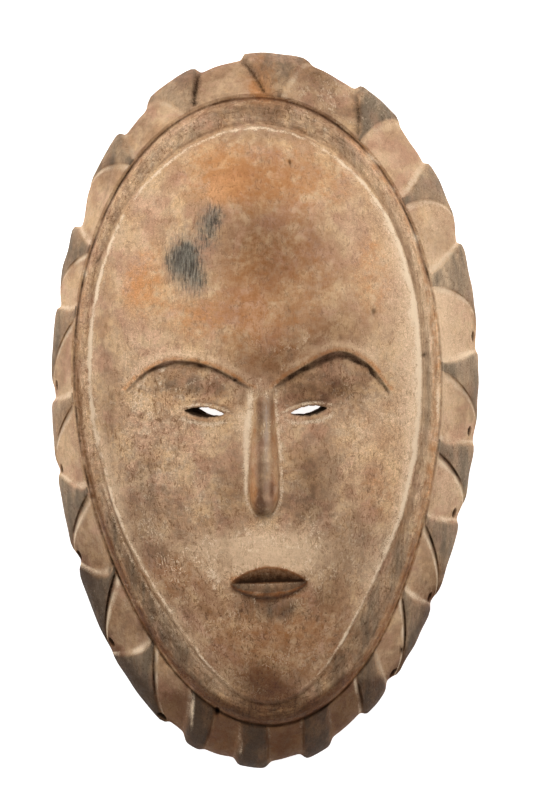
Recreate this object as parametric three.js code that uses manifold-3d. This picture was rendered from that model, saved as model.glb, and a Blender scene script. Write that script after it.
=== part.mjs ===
// Carved wooden face mask with a toothed collar, one hollow piece of wood.
// It lies on its flat back rim: +Z comes out of the face, +Y is the top of the head, millimetres.
import * as THREE from "three";
import { mergeVertices } from "three/addons/utils/BufferGeometryUtils.js";
import Module from "manifold-3d";

const wasm = await Module();
wasm.setup();

// Driving dimensions
const MASK_HEIGHT = 450;
const MASK_WIDTH = 268;
const FACE_EDGE_HEIGHT = 56;
const FACE_RISE = 40;
const FACE_LEAN = 5;
const FACE_FULLNESS = 2.4;
const FACE_SHOULDER = 0.86;
const GROOVE_HEIGHT = 46;
const GROOVE_WIDTH = 2.6;
const GROOVE_DEPTH = 2.4;
const CREASE_WIDTH = 1.6;
const CREASE_DEPTH = 1;
const BAND_SWELL = 2.2;
const COLLAR_EDGE_HEIGHT = 23;
const COLLAR_SWELL = 2;
const EDGE_ROUND_START = 0.92;
const WIDEST_HEIGHT = 15;
const SIDE_LOW_HEIGHT = 6;
const SIDE_LOW_INSET = 1.5;
const RIM_INSET = 4;
const RIM_WIDTH_SHARE = 0.2;
const HOLLOW_HEIGHT = 79;
const HOLLOW_FULLNESS = 2.7;
const HOLLOW_SHOULDER = 0.56;

// Where the rings of the shell lie, from the middle of the face outwards and back inside
const SEGMENTS = 80;
const FACE_RINGS = [0, 0.16, 0.32, 0.47, 0.61, 0.74, 0.85, 0.94, 1];
const BAND_RINGS = [0.3, 0.65];
const COLLAR_RINGS = [0.35, 0.65, EDGE_ROUND_START];
const HOLLOW_RINGS = [1, 0.98, 0.93, 0.84, 0.7, 0.52, 0.28, 0];

// Each oval is the mask's ellipse times a mean share and [cosine, sine] shares for its turns
const OUTLINE_OVAL = [1.003, [0.017, -0.012], [0, 0.006], [-0.022, -0.004], [-0.003, -0.002]];
const GROOVE_OVAL = [0.862, [0.02, -0.0345], [0.011, -0.0155], [-0.026, 0.0065], [0.0015, 0]];
const FACE_OVAL = [
  0.772,
  [0.028, -0.041],
  [0.0135, -0.012],
  [-0.0365, 0.0055],
  [0.0085, 0.001],
  [-0.007, 0.003],
  [0.006, -0.0025],
];

// Teeth of the collar, clockwise from the top, in degrees round the oval: tip and root end the
// steep side of a tooth at the edge and at the groove, apex and end do so on its long side.
// The dips are how far the valley after a tooth cuts back the edge, at its start and at its end
const TEETH = [
  { tip: -6.8, root: 0, apex: 4.5, end: 12, dips: [3.4, 5.3] },
  { tip: 25.3, root: 29.8, apex: 30.6, end: 38, dips: [3.6, 4.2] },
  { tip: 47.4, root: 47.2, apex: 49, end: 59, dips: [0.8, 3.8] },
  { tip: 62.9, root: 63.8, apex: 66.5, end: 76.3, dips: [0.3, 1.9] },
  { tip: 80.8, root: 81, apex: 82.8, end: 92.6, dips: [0.3, 1] },
  { tip: 95.7, root: 96, apex: 98.5, end: 105.8, dips: [1, 2.6] },
  { tip: 109.4, root: 111.6, apex: 113.4, end: 123.2, dips: [1.2, 2.2] },
  { tip: 125.6, root: 128, apex: 129.4, end: 140.8, dips: [2, 3.6] },
  { tip: 143.8, root: 143.3, apex: 150.4, end: 152, dips: [4.3, 4.2] },
  { tip: 161.6, root: 160.6, apex: 168.6, end: 170, dips: [4.7, 4.3] },
  { tip: 188.6, root: 187.8, apex: 180, end: 179.4, dips: [4.5, 2.2] },
  { tip: 203, root: 204.2, apex: 196.2, end: 197.6, dips: [4.4, 3.8] },
  { tip: 226.4, root: 219.6, apex: 218.4, end: 208.2, dips: [0.4, 0.5] },
  { tip: 243.4, root: 238.5, apex: 237.2, end: 228, dips: [3.4, 1.3] },
  { tip: 259.4, root: 255.4, apex: 254.2, end: 246.4, dips: [2.2, 0.6] },
  { tip: 271.4, root: 272.8, apex: 270.8, end: 261.6, dips: [3.2, 2] },
  { tip: 286.2, root: 287.8, apex: 285.6, end: 274, dips: [3.4, 0.6] },
  { tip: 300, root: 299, apex: 297.4, end: 289, dips: [5.6, 1.6] },
  { tip: 318.8, root: 318.2, apex: 316.6, end: 307.4, dips: [5, 5.1] },
  { tip: 341.4, root: 337.6, apex: 335, end: 326.6, dips: [5, 4.4] },
];
const FIRST_LEFT_TOOTH = 10;
const LONG_SIDE_CURVE = 1.9;
const VALLEY_INNER = 0.06;
const VALLEY_ROWS = [VALLEY_INNER, 0.3, 0.58];
const VALLEY_OUTER = 1.3;
const VALLEY_START_SHARE = 0.3;
const VALLEY_FULL_FROM = 0.4;
const VALLEY_STEP_DEPTH = 4.8;
const VALLEY_SOFT_DEPTH = 1.4;
const VALLEY_WALL_LEAN = 0.35;
const VALLEY_CELLS = 5;
const VALLEY_CLEARANCE = 20;
const NOTCH_RUN = 0.5;

// Fixing holes near the edge, in the valleys before these teeth
const HOLE_VALLEYS = [4, 5, 6, 7, 8, 12, 13, 14, 15, 16];
const HOLE_RADIUS = 2.2;
const HOLE_PLACE = 0.8;
const HOLE_HEIGHT = 21;
const HOLE_LENGTH = 70;
const HOLE_SIDES = 6;

// Features of the face: places across and up from the middle of the mask
const BROWS = [
  [[-88, 11], [-74, 23.5], [-57, 29.5], [-35, 26], [-6, 12]],
  [[-6, 12], [15, 23.5], [44, 35.4], [63, 28], [77, 11]],
];
const BROW_DEPTH = 6;
const BROW_ENDS = 0.6;
const SOCKET_CELLS = [10, 6];
const SOCKET_DROP = 62;
const SOCKET_SPREAD = 1.3;
const SOCKET_FADE = 0.9;
const SOCKET_LIFT = 0.35;
const NOSE_X = -1.4;
const NOSE_TOP = 11;
const NOSE_TIP = -68;
const NOSE_HALF_WIDTHS = [5.6, 6.6, 7.6, 8.6, 9.4, 9.6, 8.4, 3.4];
const NOSE_RISES = [3, 7, 9, 10.5, 12, 13.2, 12.4, 5];
const NOSE_CELLS = 6;
const NOSE_SPACING = 0.92;
const NOSE_SEAT = 3.6;
const BOND_DEPTH = 6;
const EYES = [
  { x: -38.7, y: -1.8, halfLength: 12.8, halfHeight: 3.8, tilt: -4, inwards: 4 },
  { x: 26.2, y: -0.6, halfLength: 11.8, halfHeight: 3.4, tilt: 8, inwards: -4 },
];
const EYE_CELLS = [8, 2];
const EYE_BACK_LIFT = 2;
const EYE_FRONT_HEIGHT = 112;
const EYE_SURFACE_HEIGHT = 88;
const MOUTH_X = 2.2;
const MOUTH_Y = -108.6;
const MOUTH_HALF_WIDTH = 24.4;
const UPPER_LIP = 9.8;
const LOWER_LIP = 10.4;
const LIP_CELLS = [10, 4];
const LIP_RISE = 3;
const LIP_ROLL = 0.5;
const PARTING_CELLS = [10, 2];
const PARTING_UPPER = 0.96;
const PARTING_LOWER = 0.62;
const PARTING_EDGE_RISE = 1.2;
const MOUTH_DEPTH = 5;
const ALMOND_POWER = 0.8;
const ALMOND_CORNER = 0.03;

const CLEAR_ABOVE = 130;
const HALF_WIDTH = MASK_WIDTH / 2;
const HALF_HEIGHT = MASK_HEIGHT / 2;
const lerp = THREE.MathUtils.lerp;
const smoothstep = THREE.MathUtils.smoothstep;

// Share of the mask's ellipse at which an oval lies, t radians clockwise from the top
function ovalShare(oval, t) {
  const [mean, ...turns] = oval;
  return turns.reduce(
    (share, [c, s], n) => share + c * Math.cos((n + 1) * t) + s * Math.sin((n + 1) * t),
    mean,
  );
}

// Plan point at t radians round the mask and a share of its ellipse
function planPoint(t, share) {
  return [HALF_WIDTH * share * Math.sin(t), HALF_HEIGHT * share * Math.cos(t)];
}

// A length in millimetres as a share of the ellipse at t
function asShare(length, t) {
  return length / Math.hypot(...planPoint(t, 1));
}

// Height of the uncarved front at t radians and a share of the ellipse
function frontHeight(t, share) {
  const face = ovalShare(FACE_OVAL, t);
  const groove = ovalShare(GROOVE_OVAL, t);
  const edge = ovalShare(OUTLINE_OVAL, t);
  if (share <= face) {
    const rise = FACE_RISE + FACE_LEAN * share * Math.cos(t);
    const bulge = 1 - (share / face) ** FACE_FULLNESS;
    return FACE_EDGE_HEIGHT + rise * bulge ** FACE_SHOULDER;
  }
  if (share <= groove) {
    const across = (share - face) / (groove - face);
    const swell = BAND_SWELL * Math.sin(Math.PI * across);
    return lerp(FACE_EDGE_HEIGHT, GROOVE_HEIGHT, across) + swell;
  }
  const across = (share - groove) / (edge - groove);
  const swell = COLLAR_SWELL * Math.sin(Math.PI * Math.min(across, 1));
  return lerp(GROOVE_HEIGHT, COLLAR_EDGE_HEIGHT, across) + swell;
}

// Height of the uncarved front at a plan point
function heightAt(x, y) {
  const t = Math.atan2(x / HALF_WIDTH, y / HALF_HEIGHT);
  return frontHeight(t, Math.hypot(x / HALF_WIDTH, y / HALF_HEIGHT));
}

// Share of the ellipse at t, across the collar from the groove at 0 to the edge at 1
function collarShare(t, across) {
  return lerp(ovalShare(GROOVE_OVAL, t), ovalShare(OUTLINE_OVAL, t), across);
}

// The rings of the shell as functions of t that give a share of the ellipse and a height
function shellRings() {
  const face = (t) => ovalShare(FACE_OVAL, t);
  const groove = (t) => ovalShare(GROOVE_OVAL, t);
  const onFront = (shareAt, sunk = 0) => (t) => {
    const share = shareAt(t);
    return [share, frontHeight(t, share) - sunk];
  };
  const below = (inset, height) => (t) => [collarShare(t, 1) - asShare(inset, t), height];
  const mouth = (t) => collarShare(t, RIM_WIDTH_SHARE);
  return [
    ...FACE_RINGS.map((s) => onFront((t) => s * face(t))),
    onFront((t) => face(t) + asShare(CREASE_WIDTH / 2, t), CREASE_DEPTH),
    onFront((t) => face(t) + asShare(CREASE_WIDTH, t)),
    ...BAND_RINGS.map((s) => onFront((t) => lerp(face(t), groove(t), s))),
    onFront((t) => groove(t) - asShare(GROOVE_WIDTH / 2, t)),
    onFront(groove, GROOVE_DEPTH),
    onFront((t) => groove(t) + asShare(GROOVE_WIDTH / 2, t)),
    ...COLLAR_RINGS.map((s) => onFront((t) => collarShare(t, s))),
    below(0, WIDEST_HEIGHT),
    below(SIDE_LOW_INSET, SIDE_LOW_HEIGHT),
    below(RIM_INSET, 0),
    ...HOLLOW_RINGS.map((s) => (t) => [
      s * mouth(t),
      HOLLOW_HEIGHT * (1 - s ** HOLLOW_FULLNESS) ** HOLLOW_SHOULDER,
    ]),
  ];
}

// An arch that is 0 where u is 0 or 1 and 1 half-way between
function arch(u) {
  return Math.max(Math.sin(Math.PI * u), 0);
}

// A closed manifold solid from a three.js geometry, its faces turned outwards
function solidOf(geometry) {
  const bare = geometry.clone();
  bare.deleteAttribute("normal");
  bare.deleteAttribute("uv");
  const merged = mergeVertices(bare, 1e-3);
  const corners = [...merged.index.array];
  const kept = [];
  for (let i = 0; i < corners.length; i += 3) {
    const [a, b, c] = corners.slice(i, i + 3);
    if (a !== b && b !== c && c !== a) kept.push([a, b, c]);
  }
  const build = (faces) =>
    new wasm.Manifold(
      new wasm.Mesh({
        numProp: 3,
        vertProperties: merged.attributes.position.array,
        triVerts: new Uint32Array(faces.flat()),
      }),
    );
  const solid = build(kept);
  return solid.volume() < 0 ? build(kept.map(([a, b, c]) => [a, c, b])) : solid;
}

// A block cut into across by along cells, each point placed by a rule of (across, along, depth)
function shapedBlock(across, along, place) {
  const geometry = new THREE.BoxGeometry(1, 1, 1, across, along, 1);
  const points = geometry.attributes.position;
  for (let i = 0; i < points.count; i += 1) {
    const [u, v, w] = [points.getX(i) + 0.5, points.getY(i) + 0.5, points.getZ(i) + 0.5];
    points.setXYZ(i, ...place(u, v, w));
  }
  return solidOf(geometry);
}

// The hollow shell: a lathe form whose rings are moved onto the mask's ovals
function shell() {
  const rings = shellRings();
  const profile = rings.map((ring) => {
    const [share, height] = ring(0);
    return new THREE.Vector2(HALF_HEIGHT * share, height);
  });
  const geometry = new THREE.LatheGeometry(profile, SEGMENTS);
  const points = geometry.attributes.position;
  for (let i = 0; i < points.count; i += 1) {
    const t = (2 * Math.PI * Math.floor(i / rings.length)) / SEGMENTS;
    const [share, height] = rings[i % rings.length](t);
    points.setXYZ(i, ...planPoint(t, share), height);
  }
  return solidOf(geometry);
}

// The two sides of a tooth as degrees round the mask for a place across the collar
function steepSide(tooth, across) {
  return lerp(tooth.root, tooth.tip, across);
}

function longSide(tooth, across) {
  const along = THREE.MathUtils.clamp((across - VALLEY_INNER) / (1 - VALLEY_INNER), 0, 1);
  return lerp(tooth.apex, tooth.end, 1 - (1 - along) ** (1 / LONG_SIDE_CURVE));
}

// Teeth on the right drop steeply on their upper side, and teeth on the left mirror them
function toothSides(index) {
  const tooth = TEETH[index % TEETH.length];
  const turn = index >= TEETH.length ? 360 : 0;
  const steep = (across) => turn + steepSide(tooth, across);
  const long = (across) => turn + longSide(tooth, across);
  const steepFirst = index % TEETH.length < FIRST_LEFT_TOOTH;
  return {
    first: steepFirst ? steep : long,
    last: steepFirst ? long : steep,
    dips: tooth.dips,
    depthFirst: steepFirst ? VALLEY_STEP_DEPTH : VALLEY_SOFT_DEPTH,
    depthLast: steepFirst ? VALLEY_SOFT_DEPTH : VALLEY_STEP_DEPTH,
  };
}

// Which way a valley's end wall leans: out over a steep side, upright at a long side
function wallLean(u, before, after) {
  if (u === 0) return before.depthLast === VALLEY_STEP_DEPTH ? -VALLEY_WALL_LEAN : 0;
  if (u === 1) return after.depthFirst === VALLEY_STEP_DEPTH ? VALLEY_WALL_LEAN : 0;
  return 0;
}

// The block that scoops out the valley between a tooth and the next one clockwise
function valleyCutter(index) {
  const before = toothSides(index);
  const after = toothSides(index + 1);
  const rows = [...VALLEY_ROWS, "notch", "below", VALLEY_OUTER];
  const clearHeight = FACE_EDGE_HEIGHT + VALLEY_CLEARANCE;
  return shapedBlock(VALLEY_CELLS, rows.length - 1, (u, v, w) => {
    const depth = lerp(before.depthLast, after.depthFirst, smoothstep(u, 0, 1));
    const row = rows[Math.round(v * (rows.length - 1))];
    const middle = THREE.MathUtils.degToRad(lerp(before.last(1), after.first(1), u));
    const collarWidth = collarShare(middle, 1) - collarShare(middle, 0);
    const notch = 1 - asShare(lerp(...before.dips, u), middle) / collarWidth;
    const run = asShare(NOTCH_RUN, middle) / collarWidth;
    const across = row === "notch" ? notch : row === "below" ? notch + run : row;
    const turn = THREE.MathUtils.degToRad(lerp(before.last(across), after.first(across), u));
    const sunk = depth * lerp(VALLEY_START_SHARE, 1, smoothstep(across, 0, VALLEY_FULL_FROM));
    const cutThrough = across > notch;
    const floor = frontHeight(turn, collarShare(turn, across)) - sunk;
    const isTop = w > 0.5;
    const lean = isTop ? (clearHeight - floor) * wallLean(u, before, after) : 0;
    const t = turn + asShare(lean, turn);
    const height = isTop ? clearHeight : cutThrough ? -WIDEST_HEIGHT : floor;
    return [...planPoint(t, collarShare(t, across)), height];
  });
}

// A slanting round hole from a valley near the edge into the hollow
function fixingHole(index) {
  const before = toothSides(index - 1);
  const after = toothSides(index);
  const t = THREE.MathUtils.degToRad((before.last(1) + after.first(1)) / 2);
  const [x, y] = planPoint(t, collarShare(t, HOLE_PLACE));
  const outwards = new THREE.Vector3(x, y, 0).normalize();
  const geometry = new THREE.CylinderGeometry(HOLE_RADIUS, HOLE_RADIUS, HOLE_LENGTH, HOLE_SIDES);
  const axis = outwards.clone().add(new THREE.Vector3(0, 0, 1)).normalize();
  geometry.applyQuaternion(
    new THREE.Quaternion().setFromUnitVectors(new THREE.Vector3(0, 1, 0), axis),
  );
  geometry.translate(x, y, HOLE_HEIGHT);
  return solidOf(geometry);
}

// The recess under one brow, a sharp step at the brow line that fades down the cheek
function socketCutter(points) {
  const line = new THREE.SplineCurve(points.map(([x, y]) => new THREE.Vector2(x, y)));
  return shapedBlock(...SOCKET_CELLS, (u, v, w) => {
    const brow = line.getPoint(u);
    const y = brow.y - SOCKET_DROP * (1 - v) ** SOCKET_SPREAD;
    const ends = arch(u) ** BROW_ENDS;
    const fade = Math.cos((Math.PI / 2) * (1 - v)) ** SOCKET_FADE;
    const sunk = BROW_DEPTH * ((1 + SOCKET_LIFT) * ends * fade - SOCKET_LIFT);
    return [brow.x, y, w > 0.5 ? CLEAR_ABOVE : heightAt(brow.x, y) - sunk];
  });
}

// The nose: a long narrow bar that widens and rises towards its tip
function nose() {
  const last = NOSE_RISES.length - 1;
  return shapedBlock(NOSE_CELLS, last, (u, v, w) => {
    const station = Math.round((1 - v) * last);
    const y = lerp(NOSE_TOP, NOSE_TIP, (station / last) ** NOSE_SPACING);
    const side = Math.sin((Math.PI / 2) * (2 * u - 1));
    const x = NOSE_X + NOSE_HALF_WIDTHS[station] * side;
    const base = heightAt(NOSE_X, y) - NOSE_SEAT;
    const crown = base + (BROW_DEPTH - NOSE_SEAT + NOSE_RISES[station]) * Math.sqrt(1 - side ** 4);
    return [x, y, w > 0.5 ? crown : base - BOND_DEPTH];
  });
}

// Half height of an almond at u from corner to corner
function almond(u) {
  return Math.max(arch(u) ** ALMOND_POWER, ALMOND_CORNER);
}

// A slit eye, cut right through and led inwards and upwards to its back opening
function eyeCutter(eye) {
  const turn = THREE.MathUtils.degToRad(eye.tilt);
  return shapedBlock(...EYE_CELLS, (u, v, w) => {
    const along = eye.halfLength * (2 * u - 1);
    const up = eye.halfHeight * almond(u) * (2 * v - 1);
    const height = lerp(FACE_EDGE_HEIGHT, EYE_FRONT_HEIGHT, w);
    const back = (EYE_SURFACE_HEIGHT - height) / (EYE_SURFACE_HEIGHT - FACE_EDGE_HEIGHT);
    const x = eye.x + along * Math.cos(turn) - up * Math.sin(turn) + eye.inwards * back;
    const y = eye.y + along * Math.sin(turn) + up * Math.cos(turn) + EYE_BACK_LIFT * back;
    return [x, y, height];
  });
}

// Places of the lips: rows from the lower lip's edge through the parting to the upper lip's edge
function lipPoint(u, row) {
  const x = MOUTH_X + MOUTH_HALF_WIDTH * (2 * u - 1);
  const reach = row < 0 ? LOWER_LIP : UPPER_LIP;
  return [x, MOUTH_Y + row * reach * almond(u)];
}

// The raised lips
function lips() {
  return shapedBlock(...LIP_CELLS, (u, v, w) => {
    const row = 2 * v - 1;
    const [x, y] = lipPoint(u, row);
    const rise = LIP_RISE * Math.sqrt(arch(u)) * (1 - LIP_ROLL * row * row);
    return [x, y, heightAt(x, y) + (w > 0.5 ? rise : -BOND_DEPTH)];
  });
}

// The carved parting between the lips, deepest in its middle
function mouthCutter() {
  return shapedBlock(...PARTING_CELLS, (u, v, w) => {
    const row = 2 * v - 1;
    const isMiddle = Math.abs(row) < 0.5;
    const [x, edge] = lipPoint(u, row > 0 ? PARTING_UPPER : PARTING_LOWER * row);
    const y = isMiddle ? MOUTH_Y : edge;
    const sunk = isMiddle ? MOUTH_DEPTH * Math.sqrt(arch(u)) : 0;
    return [x, y, w > 0.5 ? CLEAR_ABOVE : heightAt(x, y) + PARTING_EDGE_RISE - sunk];
  });
}

// The whole mask, carved in the order a carver works: collar, face, then the openings
function carvedMask() {
  let mask = shell();
  TEETH.forEach((_, index) => {
    mask = mask.subtract(valleyCutter(index));
  });
  BROWS.forEach((brow) => {
    mask = mask.subtract(socketCutter(brow));
  });
  mask = mask.add(nose());
  mask = mask.add(lips());
  mask = mask.subtract(mouthCutter());
  EYES.forEach((eye) => {
    mask = mask.subtract(eyeCutter(eye));
  });
  HOLE_VALLEYS.forEach((index) => {
    mask = mask.subtract(fixingHole(index));
  });
  return mask;
}

// A three.js geometry from a manifold solid, centred on the middle of its plan
function geometryOf(solid) {
  const mesh = solid.getMesh();
  const geometry = new THREE.BufferGeometry();
  geometry.setAttribute("position", new THREE.BufferAttribute(mesh.vertProperties, 3));
  geometry.setIndex(new THREE.BufferAttribute(mesh.triVerts, 1));
  geometry.computeBoundingBox();
  const middle = geometry.boundingBox.getCenter(new THREE.Vector3());
  geometry.translate(-middle.x, -middle.y, 0);
  geometry.computeVertexNormals();
  return geometry;
}

const wood = new THREE.MeshStandardMaterial({ color: 0x9c7556, roughness: 0.85, metalness: 0 });
const mask = new THREE.Mesh(geometryOf(carvedMask()), wood);
mask.name = "mask";

const part = new THREE.Group();
part.add(mask);

export default part;
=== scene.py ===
"""A carved wooden fang mask, lying face up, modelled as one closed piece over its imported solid.

Sizes are in millimetres on the mask and turned into metres when the mesh is finished.
"""

import logging
import math
from collections import Counter
from collections.abc import Callable
from dataclasses import dataclass, field
from enum import Enum
from typing import Self

import bmesh
import bpy
import numpy as np
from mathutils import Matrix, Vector

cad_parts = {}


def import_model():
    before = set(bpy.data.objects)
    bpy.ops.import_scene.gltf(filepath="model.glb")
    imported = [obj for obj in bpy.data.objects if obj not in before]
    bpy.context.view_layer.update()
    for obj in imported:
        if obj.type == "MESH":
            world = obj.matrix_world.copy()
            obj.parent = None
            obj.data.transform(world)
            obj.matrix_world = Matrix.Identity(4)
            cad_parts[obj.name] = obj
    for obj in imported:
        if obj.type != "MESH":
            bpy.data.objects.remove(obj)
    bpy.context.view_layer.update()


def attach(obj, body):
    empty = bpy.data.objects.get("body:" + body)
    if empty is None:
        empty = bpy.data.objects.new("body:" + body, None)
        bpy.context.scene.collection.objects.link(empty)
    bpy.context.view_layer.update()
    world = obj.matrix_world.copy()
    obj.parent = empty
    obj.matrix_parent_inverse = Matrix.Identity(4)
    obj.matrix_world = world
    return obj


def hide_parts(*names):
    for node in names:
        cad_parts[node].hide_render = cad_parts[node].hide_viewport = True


log = logging.getLogger("mask")

MM = 0.001
PHOTO_WIDTH_PX = 533
PHOTO_HEIGHT_PX = 810
MASK_CENTRE_PX = (265.2, 410.2)
MM_PER_PX = 0.6285
NOISE_GAIN = 2.6
SHARP_ANGLE = math.radians(62.0)
MARKS = ("zone", "fang", "rim", "cut", "pit")

Array = np.ndarray
Vert = bmesh.types.BMVert
Edge = bmesh.types.BMEdge
Face = bmesh.types.BMFace
Row = tuple[Array, Array, Array]
Shift = tuple[float, float]
Colour = tuple[float, float, float]
Socket = bpy.types.NodeSocket
Value = Socket | float | Colour


def lerp(a: Array | float, b: Array | float, share: Array | float) -> Array | float:
    """Value at a share of the way from a to b."""
    return a + (b - a) * share


def smooth(value: Array | float, low: float, high: float) -> Array:
    """Smooth step from 0 at low to 1 at high, for either order of the two."""
    share = np.clip((np.asarray(value, float) - low) / (high - low), 0.0, 1.0)
    return share * share * (3.0 - 2.0 * share)


def bell(value: Array, width: float) -> Array:
    """Bell that is 1 where value is 0 and falls off over width."""
    return np.exp(-((np.asarray(value, float) / width) ** 2))


def arch(share: Array) -> Array:
    """Arch that is 0 where share is 0 or 1 and 1 half-way between."""
    return np.clip(np.sin(np.pi * np.clip(share, 0.0, 1.0)), 0.0, None)


def waves(x: Array, y: Array, size: float, seed: int, count: int = 14) -> Array:
    """Smooth unevenness of about -1 to 1 with bumps of a given size.

    Args:
        x: Places across.
        y: Places up.
        size: Usual width of one bump.
        seed: Which pattern to take.
        count: How many waves are added up.

    Returns:
        One height per place.
    """
    chance = np.random.default_rng(seed)
    turn = chance.uniform(0.0, 2.0 * np.pi, count)
    pitch = 2.0 * np.pi / (size * chance.uniform(1.2, 3.2, count))
    start = chance.uniform(0.0, 2.0 * np.pi, count)
    total = np.zeros(np.shape(x))
    for a, k, p in zip(turn, pitch, start):
        total += np.sin(k * (np.cos(a) * x + np.sin(a) * y) + p)
    return total * math.sqrt(2.0 / count) / 2.0


def turned(x: Array, y: Array, degrees: float) -> tuple[Array, Array]:
    """Places turned clockwise about the middle."""
    c, s = math.cos(math.radians(degrees)), math.sin(math.radians(degrees))
    return x * c + y * s, y * c - x * s


def coordinates(mesh: bpy.types.Mesh) -> Array:
    """Places of the vertices of a mesh."""
    co = np.zeros(len(mesh.vertices) * 3)
    mesh.vertices.foreach_get("co", co)
    return co.reshape(-1, 3)


class Steep(Enum):
    """Which side of a fang drops steeply, going clockwise round the mask."""

    FIRST = "first"
    LAST = "last"


class Zone(Enum):
    """Which part of the shell a vertex belongs to."""

    FRONT = 0
    COLLAR = 1
    HOLLOW = 2
    TUNNEL = 3


@dataclass(frozen=True)
class Oval:
    """An uneven oval, as a share of the mask's ellipse for each turn clockwise from the top."""

    mean: float
    turns: tuple[tuple[float, float], ...]

    def share(self, t: Array) -> Array:
        """Share of the ellipse at t radians."""
        turns = enumerate(self.turns, start=1)
        return self.mean + sum(c * np.cos(n * t) + s * np.sin(n * t) for n, (c, s) in turns)


@dataclass(frozen=True)
class MaskForm:
    """The uncarved form of the mask: its ovals and the height of its front."""

    half_width: float = 134.0
    half_height: float = 225.0
    face_edge_height: float = 56.0
    face_rise: float = 40.0
    face_lean: float = 5.0
    face_fullness: float = 2.4
    face_shoulder: float = 0.86
    groove_height: float = 46.0
    band_swell: float = 2.2
    edge_height: float = 23.0
    collar_swell: float = 2.0
    rim_share: float = 0.2
    hollow_height: float = 79.0
    hollow_fullness: float = 2.7
    hollow_shoulder: float = 0.56
    lowest_face: float = 40.0
    outline: Oval = Oval(
        1.003, ((0.017, -0.012), (0.0, 0.006), (-0.022, -0.004), (-0.003, -0.002))
    )
    groove: Oval = Oval(
        0.862, ((0.02, -0.0345), (0.011, -0.0155), (-0.026, 0.0065), (0.0015, 0.0))
    )
    face: Oval = Oval(
        0.772,
        (
            (0.028, -0.041),
            (0.0135, -0.012),
            (-0.0365, 0.0055),
            (0.0085, 0.001),
            (-0.007, 0.003),
            (0.006, -0.0025),
        ),
    )

    def plan(self, t: Array, share: Array) -> tuple[Array, Array]:
        """Places across and up at t radians and a share of the ellipse."""
        return self.half_width * share * np.sin(t), self.half_height * share * np.cos(t)

    def polar(self, x: Array, y: Array) -> tuple[Array, Array]:
        """Radians clockwise from the top, and share of the ellipse, of a place."""
        across, up = x / self.half_width, y / self.half_height
        return np.arctan2(across, up), np.hypot(across, up)

    def radius(self, t: Array) -> Array:
        """Length of a whole share at t, in millimetres."""
        return np.hypot(self.half_width * np.sin(t), self.half_height * np.cos(t))

    def slide(self, t: Array, share: Array, length: Array | float) -> Array:
        """The turn that is a length in millimetres further clockwise round the ring."""
        pace = np.hypot(self.half_width * np.cos(t), self.half_height * np.sin(t))
        return t + length / (share * pace)

    def collar_share(self, t: Array, across: Array) -> Array:
        """Share of the ellipse across the collar, 0 at the groove and 1 at the edge."""
        return lerp(self.groove.share(t), self.outline.share(t), across)

    def collar_width(self, t: Array) -> Array:
        """Width of the collar at t, in millimetres."""
        return (self.outline.share(t) - self.groove.share(t)) * self.radius(t)

    def front(self, t: Array, share: Array) -> Array:
        """Height of the uncarved front.

        Args:
            t: Turns, in radians.
            share: Shares of the ellipse.

        Returns:
            One height per place.
        """
        face, groove, edge = self.face.share(t), self.groove.share(t), self.outline.share(t)
        bulge = np.clip(1 - (np.clip(share / face, 0, 1)) ** self.face_fullness, 0, 1)
        rise = self.face_rise + self.face_lean * share * np.cos(t)
        dome = self.face_edge_height + rise * bulge**self.face_shoulder
        over_band = np.clip((share - face) / (groove - face), 0, 1)
        band = lerp(self.face_edge_height, self.groove_height, over_band)
        band += self.band_swell * arch(over_band)
        over_collar = np.clip((share - groove) / (edge - groove), 0, 1.1)
        collar = lerp(self.groove_height, self.edge_height, over_collar)
        collar += self.collar_swell * arch(over_collar)
        return np.where(share <= face, dome, np.where(share <= groove, band, collar))

    def band_share(self, t: Array) -> Array:
        """Width of the band round the face at t, as a share of the ellipse."""
        return self.groove.share(t) - self.face.share(t)

    def mouth_share(self, t: Array) -> Array:
        """Share of the ellipse at the hollow's mouth."""
        return self.collar_share(t, self.rim_share)

    def hollow(self, x: Array, y: Array) -> Array:
        """Height of the hollow's surface over a place."""
        t, share = self.polar(x, y)
        out = np.clip(share / self.mouth_share(t), 0, 1)
        return self.hollow_height * (1 - out**self.hollow_fullness) ** self.hollow_shoulder


@dataclass(frozen=True)
class Fang:
    """One fang of the collar, its sides in degrees clockwise from the top of the mask.

    Tip and root end the steep side at the edge and the groove, and end and apex do so on the
    long side. The dips are how far the valley after it cuts back the edge, in millimetres.
    Shade is how dark the fang is, line how dark the cut along its long side, and foot how
    dark the cut at the foot of its steep side. Bow is how far the steep side is hollowed
    into the fang, in degrees.
    """

    tip: float
    root: float
    apex: float
    end: float
    dips: tuple[float, float]
    shade: float = 0.8
    line: float = 0.2
    foot: float = 0.0
    steep: Steep = Steep.FIRST
    bow: float = 0.5


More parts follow.
